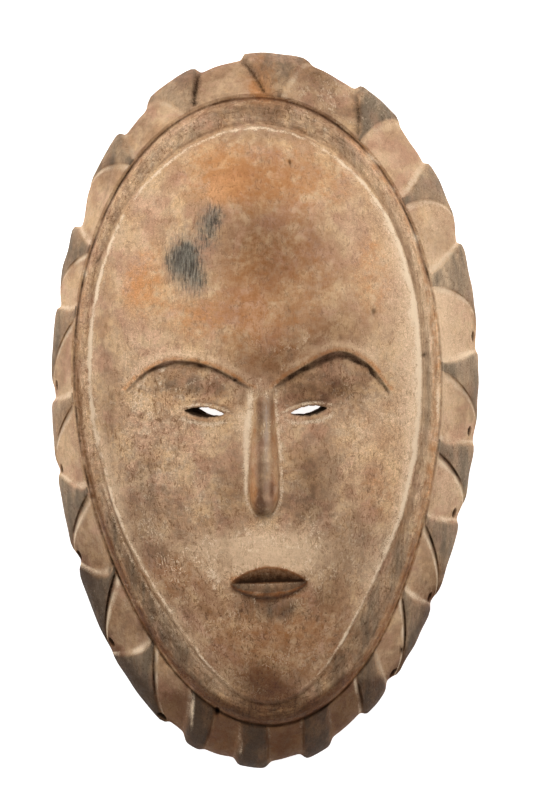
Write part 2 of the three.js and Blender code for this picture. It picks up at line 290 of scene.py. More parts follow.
@dataclass(frozen=True)
class Collar:
    """The ring of fangs and the scooped valleys between them."""

    form: MaskForm
    fang_cells: int = 12
    valley_cells: int = 17
    long_side_curve: float = 1.9
    valley_start: float = 0.06
    step_depth: float = 4.8
    soft_depth: float = 1.6
    step_run: float = 2.0
    soft_run: float = 0.9
    fang_swell: float = 0.7
    cut_depth: float = 1.5
    cut_width: float = 0.06
    narrowest: float = 0.22
    fangs: tuple[Fang, ...] = (
        Fang(-6.8, 0, 4.5, 12, (3.4, 5.3), 0.42, 0.1, 0.8),
        Fang(25.3, 29.8, 30.6, 38, (3.6, 4.2), 0.9, 0.1, 0.7),
        Fang(47.4, 47.2, 49, 59, (0.8, 3.8), 0.65, 0.1, 0.1),
        Fang(62.9, 63.8, 66.5, 76.3, (0.3, 1.9), 0.65, 0.1, 0.1),
        Fang(80.8, 81, 82.8, 92.6, (0.3, 1), 0.7, 0.3, 0.0),
        Fang(95.7, 96, 98.5, 105.8, (1, 2.6), 0.8, 0.9, 0.1),
        Fang(109.4, 111.6, 113.4, 123.2, (1.2, 2.2), 0.65, 0.8, 0.0),
        Fang(125.6, 128, 129.4, 140.8, (2, 3.6), 0.75, 0.9, 0.0),
        Fang(143.8, 143.3, 150.4, 152, (4.3, 4.2), 0.9, 0.6, 0.2),
        Fang(161.6, 160.6, 168.6, 170, (4.7, 4.3), 0.9, 0.3, 0.3),
        Fang(188.6, 187.8, 180, 179.4, (4.5, 2.2), 0.9, 0.3, 0.1, Steep.LAST),
        Fang(203, 204.2, 196.2, 197.6, (4.4, 3.8), 1.0, 0.3, 0.1, Steep.LAST),
        Fang(226.4, 219.6, 218.4, 208.2, (0.4, 0.5), 1.1, 0.7, 0.0, Steep.LAST, 1.3),
        Fang(243.4, 238.5, 237.2, 228, (3.4, 1.3), 1.1, 1.0, 0.0, Steep.LAST, 2.0),
        Fang(259.4, 255.4, 254.2, 246.4, (2.2, 0.6), 0.95, 0.7, 0.0, Steep.LAST, 1.0),
        Fang(271.4, 272.8, 270.8, 261.6, (3.2, 2), 0.5, 0.4, 0.0, Steep.LAST),
        Fang(286.2, 287.8, 285.6, 274, (3.4, 0.6), 0.7, 0.3, 0.0, Steep.LAST),
        Fang(300, 299, 297.4, 289, (5.6, 1.6), 0.85, 0.2, 0.0, Steep.LAST),
        Fang(318.8, 318.2, 316.6, 307.4, (5, 5.1), 0.62, 0.1, 0.3, Steep.LAST),
        Fang(341.4, 337.6, 335, 326.6, (5, 4.4), 0.45, 0.1, 0.9, Steep.LAST),
    )

    @property
    def columns(self) -> int:
        """How many columns of vertices go round the mask."""
        return len(self.fangs) * (self.fang_cells + self.valley_cells + 2)

    def side(self, fang: Fang, across: Array, which: Steep) -> Array:
        """Turn of one side of a fang across the collar, in radians.

        Args:
            fang: The fang.
            across: Places across the collar, 0 at the groove and 1 at the edge.
            which: The first or the last side, going clockwise.

        Returns:
            One turn per place.
        """
        across = np.clip(across, 0, 1)
        if which == fang.steep:
            into = 1 if which == Steep.FIRST else -1
            hollowed = into * fang.bow * arch(across**0.8)
            return np.radians(lerp(fang.root, fang.tip, across) + hollowed)
        along = np.clip((across - self.valley_start) / (1 - self.valley_start), 0, 1)
        bow = 1 - (1 - along) ** (1 / self.long_side_curve)
        return np.radians(lerp(fang.apex, fang.end, bow))

    def pair(self, index: int, across: Array) -> tuple[Array, Array]:
        """Turns of one fang's columns and of the columns of the valley after it.

        Args:
            index: Which fang.
            across: Places across the collar, one per row.

        Returns:
            Two arrays of rows by columns.
        """
        fang = self.fangs[index]
        after = self.fangs[(index + 1) % len(self.fangs)]
        lap = 2 * np.pi if index + 1 == len(self.fangs) else 0
        start = self.side(fang, across, Steep.FIRST)
        stop = self.side(fang, across, Steep.LAST)
        then = self.side(after, across, Steep.FIRST) + lap
        share = self.form.collar_share(stop, np.clip(across, 0, 1))
        before_run = self.step_run if fang.steep == Steep.FIRST else self.soft_run
        after_run = self.step_run if fang.steep == Steep.LAST else self.soft_run
        room = np.clip(across / self.narrowest, 0.12, 1)
        fang_start = self.form.slide(start, share, before_run * room)
        fang_stop = self.form.slide(stop, share, -after_run * room)
        valley_start = self.form.slide(stop, share, self.soft_run * 0.4 * room)
        valley_stop = self.form.slide(then, share, -self.soft_run * 0.4 * room)
        p = np.linspace(0, 1, self.fang_cells + 1)
        q = self.valley_steps()
        fang_turns = lerp(fang_start[:, None], fang_stop[:, None], p[None, :])
        valley_turns = lerp(valley_start[:, None], valley_stop[:, None], q[None, :])
        return fang_turns, valley_turns

    def valley_steps(self) -> Array:
        """Shares across a valley of its columns, closer together at its two walls."""
        even = np.linspace(0, 1, self.valley_cells + 1)
        return lerp(even, 0.5 - 0.5 * np.cos(np.pi * even), 0.75)

    def turns(self, across: Array) -> Array:
        """Turns of all columns for rows at these places across the collar."""
        indexes = range(len(self.fangs))
        return np.concatenate([part for n in indexes for part in self.pair(n, across)], axis=1)

    def per_column(
        self,
        on_fang: Callable[[Fang, Array], Array] = lambda fang, p: 0.0 * p,
        in_valley: Callable[[Fang, Fang, Array], Array] = lambda fang, after, q: 0.0 * q,
    ) -> Array:
        """One value per column.

        Args:
            on_fang: Gives values for a fang and the shares across it.
            in_valley: Gives values for the fangs before and after a valley and the shares
                across it.

        Returns:
            The values in the order of the columns.
        """
        values: list[Array] = []
        p = np.linspace(0, 1, self.fang_cells + 1)
        for index, fang in enumerate(self.fangs):
            after = self.fangs[(index + 1) % len(self.fangs)]
            values.append(on_fang(fang, p))
            values.append(in_valley(fang, after, self.valley_steps()))
        return np.concatenate(values)

    def depths(self) -> Array:
        """How deep each column lies under the uncarved collar.

        Returns:
            One depth per column, in millimetres.
        """

        def scooped(fang: Fang, after: Fang, q: Array) -> Array:
            """Depth across a valley, rounded up against its steep sides.

            Args:
                fang: The fang before the valley.
                after: The fang after the valley.
                q: Shares across the valley.

            Returns:
                One depth per share.
            """
            first = self.step_depth if fang.steep == Steep.LAST else self.soft_depth
            last = self.step_depth if after.steep == Steep.FIRST else self.soft_depth
            depth = lerp(first, last, smooth(q, 0, 1))
            fillet = 0.45 * (first * bell(q, 0.08) + last * bell(1 - q, 0.08))
            depth -= np.where(depth > self.soft_depth * 1.5, fillet, 0)
            return depth + self.cut_depth * self.cuts(fang, after, q)

        return self.per_column(lambda fang, p: -self.fang_swell * arch(p), scooped)

    def dips(self) -> Array:
        """How far each column's edge is cut back, in millimetres."""
        return self.per_column(in_valley=lambda fang, after, q: lerp(*fang.dips, smooth(q, 0, 1)))

    def fang_marks(self) -> Array:
        """Darkness of each column's fang, and 0 in the valleys."""
        return self.per_column(lambda fang, p: fang.shade * (0.85 + 0.15 * arch(p)))

    def rim_wear_and_highlight_marks(self) -> Array:
        """How pale the worn rims of each valley are, with painted highlight where each valley curves
        up into a steep wall.

        Returns:
            One paleness per column.
        """

        def worn(fang: Fang, after: Fang, q: Array) -> Array:
            """Paleness across a valley, for worn rims and for the painted highlight on the walls,
            strongest under the steep sides.

            Args:
                fang: The fang before the valley.
                after: The fang after the valley.
                q: Shares across the valley.

            Returns:
                One paleness per share.
            """
            first = 0.85 if fang.steep == Steep.LAST else 0.7 + 0.4 * fang.line
            last = 0.85 if after.steep == Steep.FIRST else 0.7 + 0.4 * after.line
            first *= 1 - 0.7 * fang.foot * (fang.steep == Steep.LAST)
            last *= 1 - 0.7 * after.foot * (after.steep == Steep.FIRST)
            first_line = 0.03 + 0.08 * fang.line * (fang.steep == Steep.FIRST)
            last_line = 0.03 + 0.08 * after.line * (after.steep == Steep.LAST)
            return first * bell(q - first_line, 0.06) + last * bell(1 - q - last_line, 0.06)

        return self.per_column(in_valley=worn)

    def cut_marks(self) -> Array:
        """How dark the cuts along the sides of each fang are."""
        return self.per_column(in_valley=self.cuts)

    def cuts(self, fang: Fang, after: Fang, q: Array) -> Array:
        """How strong the cuts along both sides of a valley are, at shares across it."""
        first = fang.line if fang.steep == Steep.FIRST else fang.foot
        last = after.line if after.steep == Steep.LAST else after.foot
        return first * bell(q, self.cut_width) + last * bell(1 - q, self.cut_width)

    def eased(self, values: Array, arc: Array, reach: float) -> Array:
        """Values round the edge, each evened out with those near it.

        Args:
            values: One value per column.
            arc: Each column's place along the closed edge, in millimetres.
            reach: How far the evening out reaches, in millimetres.

        Returns:
            The evened values.
        """
        length = arc[-1] + (arc[1] - arc[0])
        gap = np.abs(arc[:, None] - arc[None, :])
        gap = np.minimum(gap, length - gap)
        weight = np.exp(-((gap / reach) ** 2)) * np.abs(np.gradient(arc))[None, :]
        return weight @ values / weight.sum(axis=1)


@dataclass(frozen=True)
class Brow:
    """A carved brow line over a sunk eye socket, given by points from left to right.

    Widths and darks are the width and darkness of the painted shadow under the line, from left to
    right.
    """

    points: tuple[tuple[float, float], ...]
    wall: float
    widths: tuple[float, ...]
    darks: tuple[float, ...]
    depth: float = 6.0
    drop: float = 62.0
    spread: float = 1.3
    fade: float = 0.9
    ends: float = 0.6
    lip: float = 0.9

    def curve(self) -> tuple[Array, Array]:
        """Fine points along the brow, rounded through its given points.

        Returns:
            Places across, and places up.
        """
        p = np.array(self.points)
        p = np.vstack([2 * p[0] - p[1], p, 2 * p[-1] - p[-2]])
        u = np.linspace(0, 1, 41)[:-1, None]
        parts = []
        for a, b, c, d in zip(p[:-3], p[1:-2], p[2:-1], p[3:]):
            bend = (2 * a - 5 * b + 4 * c - d) * u**2 + (3 * b - a - 3 * c + d) * u**3
            parts.append(0.5 * (2 * b + (c - a) * u + bend))
        line = np.vstack([*parts, p[-2:-1]])
        return line[:, 0], line[:, 1]

    def below(self, x: Array, y: Array) -> tuple[Array, Array]:
        """How far a place is below the brow line, and its share of the way along it."""
        cx, cy = self.curve()
        return np.interp(x, cx, cy) - y, (x - cx[0]) / (cx[-1] - cx[0])

    def distance(self, x: Array, y: Array) -> Array:
        """Distance of a place from the line, negative above it.

        Args:
            x: Places across.
            y: Places up.

        Returns:
            One distance per place.
        """
        cx, cy = self.curve()
        slope = np.interp(x, cx, np.gradient(cy, cx))
        gap, along = self.below(x, y)
        over = np.maximum(np.maximum(-along, along - 1), 0) * (cx[-1] - cx[0])
        flat = gap / np.sqrt(1 + slope**2)
        return np.sign(flat) * np.hypot(flat, over)

    def sunk(self, x: Array, y: Array) -> Array:
        """How deep the socket lies under the face, less the lip over the line.

        Args:
            x: Places across.
            y: Places up.

        Returns:
            One depth per place.
        """
        gap, along = self.below(x, y)
        ends = arch(along) ** self.ends
        far = np.clip(gap / self.drop, 0, 1) ** (1 / self.spread)
        fading = np.cos(0.5 * np.pi * far) ** self.fade
        near = self.distance(x, y)
        inside = smooth(near, -0.8, 1 + self.wall)
        lip = self.lip * ends * bell(near + 3.2, 2.6)
        return self.depth * ends * fading * inside - lip

    def dirt(self, x: Array, y: Array) -> Array:
        """How dark the painted shadow under the line is.

        Args:
            x: Places across.
            y: Places up.

        Returns:
            One darkness per place.
        """
        _, along = self.below(x, y)
        near = self.distance(x, y)
        width = np.interp(along, np.linspace(0, 1, len(self.widths)), self.widths)
        width *= 1 + 0.4 * waves(x, y, 5, 37)
        dark = np.interp(along, np.linspace(0, 1, len(self.darks)), self.darks)
        dark *= 0.9 + 0.35 * waves(x, y, 6, 38)
        ends = smooth(along, -0.01, 0.02) * smooth(along, 1.01, 0.98)
        return dark * ends * smooth(near, -0.5, 0.4) * smooth(near, width + 0.9, width - 0.3)


@dataclass(frozen=True)
class Eye:
    """A slit eye in a low lid, cut through the wood to a back opening that is moved aside."""

    x: float
    y: float
    half_length: float
    half_height: float
    tilt: float
    back: tuple[float, float]
    lid: tuple[float, float] = (21.0, 9.0)
    lid_rise: float = 2.6
    ragged: float = 0.2
    lowest: float = 0.25

    def local(self, x: Array, y: Array) -> tuple[Array, Array]:
        """Place along and across the slit."""
        return turned(x - self.x, y - self.y, self.tilt)

    def place(self, along: Array, across: Array) -> tuple[Array, Array]:
        """Place on the mask of a place along and across the slit."""
        x, y = turned(along, across, -self.tilt)
        return self.x + x, self.y + y

    def half(self, along: Array) -> Array:
        """Half height of the slit at a place along it, a little uneven as it is worn."""
        bow = arch(0.5 + 0.5 * along / self.half_length) ** 0.8
        rough = np.sin(1.3 * along + self.x) + 0.6 * np.sin(2.9 * along + 1)
        return bow * (self.half_height + self.ragged * rough)

    def raised(self, x: Array, y: Array) -> Array:
        """Height of the lids over the socket.

        Args:
            x: Places across.
            y: Places up.

        Returns:
            One height per place.
        """
        along, across = self.local(x, y)
        out = np.hypot(along / self.lid[0], (across - 0.8) / self.lid[1])
        swell = self.lid_rise * np.clip(1 - out**2, 0, None) ** 1.2
        crease = 1.2 * self.upper_crease(along, across)
        roll = 0.7 * bell(np.abs(across) - self.half(along), 1.3) * smooth(out, 1.2, 0.6)
        return swell - crease - roll

    def upper_crease(self, along: Array, across: Array) -> Array:
        """How far a place along and across the slit is in the crease over the upper lid."""
        return self.lid_line(along, across, 6.2, 0.014, 1)

    def lower_lid(self, along: Array, across: Array) -> Array:
        """How far a place along and across the slit is on the edge of the lower lid."""
        return self.lid_line(along, across, -7.4, -0.014, 1.6)

    def lid_line(
        self, along: Array, across: Array, height: float, bend: float, width: float
    ) -> Array:
        """How far a place along and across the slit is on a line bowed as the lids are."""
        ends = smooth(19 - np.abs(along), 0, 8)
        return bell(across - height + bend * along**2, width) * ends

    def out(self, x: Array, y: Array, shift: Shift) -> Array:
        """How far out of the slit a place is when the slit is moved aside, 1 at its edge."""
        along, across = self.local(x - shift[0], y - shift[1])
        tall = np.maximum(self.half(along), self.lowest)
        return np.maximum(np.abs(across) / tall, np.abs(along) / self.half_length)

    def snap(self, x: float, y: float, shift: Shift) -> tuple[float, float]:
        """Moves a place near the edge of the slit onto the edge.

        Args:
            x: The place across.
            y: The place up.
            shift: How far the slit is moved aside.

        Returns:
            The moved place.
        """
        along, across = self.local(x - shift[0], y - shift[1])
        along = min(max(along, -self.half_length), self.half_length)
        half = float(self.half(np.array(along)))
        edge_x, edge_y = self.place(along, math.copysign(half, across))
        return edge_x + shift[0], edge_y + shift[1]


@dataclass(frozen=True)
class Nose:
    """A long narrow nose that widens and rises towards its tip."""

    x: float = -1.4
    top: float = 11.0
    tip: float = -68.0
    seat: float = 3.6
    step: float = 2.4
    spacing: float = 0.92
    foot: float = 16.0
    half_widths: tuple[float, ...] = (5.6, 6.6, 7.6, 8.6, 9.3, 9.6, 9.4, 9.2)
    rises: tuple[float, ...] = (3.0, 7.0, 9.0, 10.5, 12.0, 13.2, 12.4, 5.0)

    def stations(self) -> Array:
        """Places down the nose of its widths and rises, lowest first."""
        share = np.linspace(0, 1, len(self.rises)) ** self.spacing
        return lerp(self.top, self.tip, share)[::-1]

    def half_width(self, y: Array) -> Array:
        """Half width of the nose at a height up the face, rounded off at its foot."""
        rounded = np.sqrt(1 - (1 - np.clip((y - self.tip) / self.foot, 0.006, 1)) ** 2)
        return np.interp(y, self.stations(), self.half_widths[::-1]) * rounded

    def side(self, x: Array, y: Array) -> Array:
        """Place across the nose, -1 and 1 at its two edges."""
        return (x - self.x) / self.half_width(y)

    def away(self, x: Array, y: Array) -> Array:
        """Distance outwards from the corner beside the nose, in millimetres."""
        return (np.abs(self.side(x, y)) - 1) * self.half_width(y) - 1.7

    def crown(self, x: Array, y: Array, ridge: Array) -> Array:
        """Height of the nose, given the height of the uncarved face along its middle.

        Args:
            x: Places across.
            y: Places up.
            ridge: Heights of the uncarved face along the middle of the nose.

        Returns:
            One height per place.
        """
        rise = self.step + np.interp(y, self.stations(), self.rises[::-1])
        section = np.clip(1 - np.abs(self.side(x, y)) ** 2.8, 0, 1) ** 0.62
        ends = np.sqrt(smooth(y, self.tip - 0.8, self.tip + 5))
        ends *= smooth(y, self.top + 7, self.top - 6)
        beside = np.abs(self.side(x, y)) > 1.25
        lowest = np.where(beside | (y > self.top + 6) | (y < self.tip - 1), -40, 0)
        return ridge - self.seat + rise * section * ends - 3 * (1 - ends) + lowest


@dataclass(frozen=True)
class Mouth:
    """Small pursed lips with a carved parting."""

    x: float = 1.4
    y: float = -108.7
    half_width: float = 24.2
    upper: float = 9.8
    lower: float = 9.9
    rise: float = 3.0
    roll: float = 0.5
    depth: float = 5.0
    upper_cut: float = 0.96
    lower_cut: float = 0.62
    cut_rise: float = 1.2
    tilt: float = 0.03

    def row(self, x: Array, y: Array) -> tuple[Array, Array]:
        """Share along the mouth, and row from -1 at the lower edge to 1 at the upper edge."""
        share = 0.5 + 0.5 * (x - self.x) / self.half_width
        up = y - self.y - self.tilt * (x - self.x)
        tall = np.maximum(arch(share) ** np.where(up < 0, 0.62, 0.75), 0.03)
        return share, up / (np.where(up < 0, self.lower, self.upper) * tall)

    def carved(self, x: Array, y: Array) -> Array:
        """Height of the lips and their parting over the face.

        Args:
            x: Places across.
            y: Places up.

        Returns:
            One height per place.
        """
        share, row = self.row(x, y)
        bow = np.sqrt(arch(share))
        ends = smooth(share, 0, 0.05) * smooth(share, 1, 0.95)
        inside = smooth(np.abs(row), 1.06, 0.9) * ends
        lips = self.rise * bow * (1 - self.roll * row**2)
        slope = np.where(row > 0, 1 - row / self.upper_cut, 1 + row / self.lower_cut)
        parting = self.cut_rise - self.depth * bow * slope
        cut = (row < self.upper_cut) & (row > -self.lower_cut)
        return inside * np.where(cut, np.minimum(lips, parting), lips)


@dataclass(frozen=True)
class Pit:
    """A small hollow in the surface: its place, half sizes, depth and lean."""

    x: float
    y: float
    across: float
    up: float
    depth: float
    lean: float = 0.0

    def inside(self, x: Array, y: Array) -> Array:
        """How far inside the pit a place is, from 0 outside to 1 in the middle."""
        a, b = turned(x - self.x, y - self.y, self.lean)
        return np.exp(-(((a / self.across) ** 2 + (b / self.up) ** 2) ** 1.5))


@dataclass(frozen=True)
class Carving:
    """The whole carved front: the form with its grooves, sockets, nose, eyes and mouth."""

    form: MaskForm = field(default_factory=MaskForm)
    groove_width: float = 1.4
    groove_depth: float = 2.3
    crease_width: float = 1.5
    crease_depth: float = 1.9
    ridge_rise: float = 0.9
    trough_depth: float = 1.7
    roll_rise: float = 0.8
    brows: tuple[Brow, ...] = (
        Brow(
            ((-88, 11), (-74, 23.5), (-57, 29.5), (-35, 26), (-9, 12.5)),
            1.2,
            (0.8, 1.4, 1.9, 1.6, 1.2, 1.0),
            (0.5, 0.8, 1.0, 0.9, 0.7, 0.3),
        ),
        Brow(
            ((3.5, 12.5), (17, 22.5), (44, 35.4), (63, 28), (77, 11)),
            3.4,
            (1.0, 2.2, 3.2, 5.0, 3.8, 3.0, 1.2),
            (0.3, 1.0, 0.85, 0.6, 0.9, 1.0, 0.8),
        ),
    )
    eyes: tuple[Eye, ...] = (
        Eye(-38.9, -2.4, 12.4, 3.1, -5.0, (8.4, 1.2)),
        Eye(26.6, -1.4, 11.5, 2.9, 8.0, (-4.0, 1.1)),
    )
    nose: Nose = Nose()
    mouth: Mouth = Mouth()
    pits: tuple[Pit, ...] = (
        Pit(14.8, 153.4, 0.8, 2.2, 1.2, 12.0),
        Pit(66.9, 60.3, 1.4, 2.4, 1.0),
        Pit(84.5, -151.5, 1.5, 1.5, 4.0),
        Pit(-30.7, -189.6, 1.4, 2.6, 5.0, -10.0),
        Pit(-19.2, 17.6, 1.4, 1.0, 1.4),
        Pit(99.0, 33.5, 2.0, 1.0, 1.6),
        Pit(-105.9, 92.4, 2.2, 0.9, 0.8, 50.0),
        Pit(-97.5, -101.0, 1.0, 5.0, 1.6, -14.0),
        Pit(-72.0, -142.0, 1.0, 6.5, 1.3, 24.0),
    )

    def from_face_edge(self, x: Array, y: Array) -> Array:
        """Distance outwards from the edge of the face, in millimetres."""
        t, share = self.form.polar(x, y)
        return (share - self.form.face.share(t)) * self.form.radius(t)

    def from_groove(self, x: Array, y: Array) -> Array:
        """Distance outwards from the groove, in millimetres."""
        t, share = self.form.polar(x, y)
        return (share - self.form.groove.share(t)) * self.form.radius(t)

    def line(self, x: Array, y: Array) -> Array:
        """How far outwards of the groove's middle its deepest line runs, in millimetres."""
        right = smooth(x, 60, 100) * smooth(np.abs(y), 110, 60)
        left = smooth(-x, 60, 100) * smooth(np.abs(y), 90, 40)
        up = lerp(0.1, -1, smooth(y, 40, 110)) + 0.9 * smooth(-y, 110, 160)
        return up + 0.5 * right - 0.6 * left

    def uneven(self, x: Array, y: Array) -> Array:
        """The small unevenness that a knife and long wear leave."""
        rough = 0.38 * waves(x, y, 26, 3) + 0.16 * waves(x, y * 0.6, 7, 4)
        return rough - sum(pit.depth * pit.inside(x, y) for pit in self.pits)

    def surface(self, x: Array, y: Array) -> Array:
        """Height of the carved front over any place inside the collar's valleys.

        Args:
            x: Places across.
            y: Places up.

        Returns:
            One height per place.
        """
        t, share = self.form.polar(x, y)
        height = self.form.front(t, share)
        groove = self.from_groove(x, y) - 0.6 * self.line(x, y)
        height -= self.groove_depth * bell(groove, self.groove_width)
        outside = self.from_face_edge(x, y)
        height -= self.crease_depth * bell(outside - 2, self.crease_width)
        height += self.ridge_rise * bell(outside + 0.3, 1.3)
        over = np.clip((share - self.form.face.share(t)) / self.form.band_share(t), 0, 1)
        height -= self.trough_depth * bell(over - 0.33, 0.2) * smooth(over, 0, 0.1)
        height += self.roll_rise * bell(over - 0.76, 0.14)
        for brow in self.brows:
            height -= brow.sunk(x, y)
        for eye in self.eyes:
            height += eye.raised(x, y)
        height += self.mouth.carved(x, y)
        ridge_x = np.full(np.shape(y), self.nose.x)
        ridge_t, ridge_share = self.form.polar(ridge_x, y)
        crown = self.nose.crown(x, y, self.form.front(ridge_t, ridge_share))
        blend = np.clip(0.5 + 0.5 * (crown - height) / 1.2, 0, 1)
        height = lerp(height, crown, blend) + 1.2 * blend * (1 - blend)
        return height + self.uneven(x, y)

    def detail(self, x: Array, y: Array) -> Array:
        """How fine the face's mesh has to be.

        Args:
            x: Places across.
            y: Places up.

        Returns:
            Under 1 where the mesh is fine and under 0 where it is finest.
        """
        near = np.full(np.shape(x), 9.0)
        for brow in self.brows:
            near = np.minimum(near, (np.abs(brow.distance(x, y) - 0.5) - 2.2) / 6)
        for eye in self.eyes:
            along, across = eye.local(x, y)
            ring = np.abs(np.abs(across) - eye.half(along)) - 1.8
            ring = np.maximum(ring, np.abs(along) - eye.half_length - 2)
            near = np.minimum(near, ring / 9)
            near = np.minimum(near, np.hypot(along / 24, across / 12) * 0.99 + 0.01)
        side = np.abs(self.nose.side(x, y))
        down = np.maximum(y - self.nose.top - 4, self.nose.tip - 4 - y)
        flank = np.abs(side - 0.95) * self.nose.half_width(y) - 1.6
        near = np.minimum(near, np.maximum(flank, down) / 7)
        share, row = self.mouth.row(x, y)
        lips = np.minimum(np.abs(np.abs(row) - 1), np.abs(row)) * 9 - 1.4
        lips = np.maximum(lips, (np.abs(share - 0.5) - 0.52) * 49)
        near = np.minimum(near, lips / 8)
        for pit in self.pits:
            away = np.hypot(x - pit.x, y - pit.y) - max(pit.across, pit.up) - 1
            near = np.minimum(near, away / 3)
        return near


@dataclass(frozen=True)
class EdgeHole:
    """A slanting fixing hole at the edge of the collar: its place, half sizes and depth."""

    x: float
    y: float
    along: float = 3.0
    across: float = 1.7
    depth: float = 7.0
    search: float = 2.5
    sunk: float = 1.0
    lowest: float = 3.0

    def directions(self, form: MaskForm) -> tuple[Vector, Vector]:
        """Directions of the hole.

        Args:
            form: The form of the mask.

        Returns:
            The direction along the edge, and the direction that the hole is bored in.
        """
        t, _ = form.polar(self.x, self.y)
        outwards = Vector((math.sin(t) / form.half_width, math.cos(t) / form.half_height, 0.0))
        outwards.normalize()
        axis = (-outwards - Vector((0.0, 0.0, 1.0))).normalized()
        return Vector((outwards.y, -outwards.x, 0.0)), axis

    def out(self, way: Vector, along: Vector, axis: Vector) -> float:
        """How far a place is from the axis of the hole.

        Args:
            way: The way to the place from the middle of the hole.
            along: The direction along the edge.
            axis: The direction that the hole is bored in.

        Returns:
            0 on the axis and 1 at the wall.
        """
        if abs(way.dot(axis)) > self.depth:
            return math.inf
        side = along.dot(way)
        rest = (way - axis * way.dot(axis) - along * side).length
        return math.hypot(side / self.along, rest / self.across)


@dataclass
class MaskMesh:
    """Builds the closed mesh of the mask from its carving and its collar.

    Offsets, insets and reaches are in millimetres, and shares run from one edge of a zone
    to the other. The mesh being built and its vertex layers are kept on the builder.
    """

    carving: Carving
    collar: Collar
    cell: float = 2.0
    face_reach: tuple[float, float] = (112.0, 186.0)
    face_margin: float = -4.6
    face_trim: float = 0.9
    face_rim: float = 1.8
    edge_offsets: tuple[float, ...] = (-4.6, -3.2, -2.2, -1.4, -0.7, 0.0, 0.7, 1.4, 2.4)
    band_shares: tuple[float, ...] = (0.24, 0.33, 0.42, 0.51, 0.6, 0.69, 0.78)
    groove_offsets: tuple[float, ...] = (-2.4, -1.6, -0.9, -0.3, 0.3, 0.9, 1.6)
    collar_shares: tuple[float, ...] = (
        *(0.09, 0.13, 0.17, 0.22, 0.27, 0.32, 0.37, 0.42, 0.47, 0.52, 0.57, 0.62),
        *(0.67, 0.72, 0.77, 0.82, 0.86, 0.9, 0.935, 0.965, 0.985, 1.0),
    )
    side_heights: tuple[float, ...] = (0.93, 0.8, 0.64, 0.46, 0.3, 0.16, 0.05, 0.0)
    side_insets: tuple[float, ...] = (-0.1, 0.0, 0.0, 0.1, 0.7, 1.8, 3.2, 4.0)
    hollow_columns: int = 160
    hollow_shares: tuple[float, ...] = (
        *(1.0, 0.998, 0.99, 0.975, 0.955, 0.93, 0.9, 0.86, 0.81, 0.75, 0.68, 0.6),
        *(0.51, 0.41, 0.3, 0.18, 0.0),
    )
    edge_ease: float = 2.4
    edge_drop: float = 3.2
    edge_rough: float = 0.35
    valley_rough: float = 0.3
    closest: float = 0.05
    merge: float = 1e-4
    tunnel_steps: tuple[float, ...] = (0.06, 0.3, 0.65)
    tunnel_clearance: float = 3.0
    holes: tuple[EdgeHole, ...] = (
        *(EdgeHole(131.0, 45.3), EdgeHole(128.5, -14.5), EdgeHole(118.8, -66.0)),
        *(EdgeHole(103.2, -118.8), EdgeHole(80.1, -166.5), EdgeHole(-132.9, 14.5)),
        *(EdgeHole(-129.8, -38.3), EdgeHole(-118.5, -92.4), EdgeHole(-98.0, -147.1)),
        EdgeHole(-65.7, -193.6),
    )
    bm: bmesh.types.BMesh = field(init=False, repr=False)
    layers: dict[str, bmesh.types.BMLayerItem] = field(init=False, repr=False)

    def build(self) -> bpy.types.Object:
        """Builds the mesh and links its object.

        Returns:
            The mask's object, with its marks as vertex attributes.
        """
        self.bm = bmesh.new()
        self.layers = {name: self.bm.verts.layers.float.new(name) for name in MARKS}
        self.add_collar()
        self.add_face()
        self.add_hollow()
        for eye in self.carving.eyes:
            self.cut_eye(eye)
        for hole in self.holes:
            self.bore(hole)
        bmesh.ops.dissolve_degenerate(self.bm, edges=self.bm.edges, dist=1e-3)
        loose = [edge for edge in self.bm.edges if edge.is_wire]
        bmesh.ops.delete(self.bm, geom=loose, context="EDGES")
        bmesh.ops.recalc_face_normals(self.bm, faces=self.bm.faces)
        mesh = bpy.data.meshes.new("mask_carved")
        self.bm.to_mesh(mesh)
        self.bm.free()
        piece = bpy.data.objects.new("mask_carved", mesh)
        bpy.context.scene.collection.objects.link(piece)
        return piece

    def zone(self, vert: Vert) -> int:
        """Number of the zone that a vertex belongs to."""
        return round(vert[self.layers["zone"]])

    def grid(self, columns: int, rows: int, zone: Zone) -> list[Vert]:
        """Adds a flat grid from -1 to 1 both ways, and gives its vertices row by row."""
        made = bmesh.ops.create_grid(self.bm, x_segments=columns, y_segments=rows, size=1)["verts"]
        for vert in made:
            vert[self.layers["zone"]] = float(zone.value)
        return sorted(made, key=lambda v: (round(v.co.y * rows), round(v.co.x * columns)))

    def collar_rows(self) -> tuple[Array, Array, Array]:
        """Turns, shares and heights of the collar zone's rows, from the face to the rim.

        Returns:
            Three arrays of rows by columns.
        """
        rows = [*self.inner_rows(), *self.fang_rows()]
        turns, shares, heights = rows[-1]
        for rise, inset in zip(self.side_heights, self.side_insets):
            rows.append((turns, shares - inset / self.carving.form.radius(turns), heights * rise))
        turns, shares, heights = (np.array(part) for part in zip(*rows))
        return turns, shares, heights

    def inner_rows(self) -> list[Row]:
        """Rows at the edge of the face, over the band and through the groove.

        Returns:
            Turns, shares and heights of each row.
        """
        form, columns = self.carving.form, self.collar.columns
        grooved = self.collar.turns(np.array([0.0]))[0]
        even = 2 * np.pi / columns * np.arange(columns)
        even += np.mean(grooved - even)
        places = [(even, form.face.share(even) + o / form.radius(even)) for o in self.edge_offsets]
        for share in self.band_shares:
            t = lerp(even, grooved, smooth(share, 0.1, 0.9))
            places.append((t, lerp(form.face.share(t), form.groove.share(t), share)))
        for offset in self.groove_offsets:
            places.append((grooved, form.groove.share(grooved) + offset / form.radius(grooved)))
        return [(t, share, self.carving.surface(*form.plan(t, share))) for t, share in places]

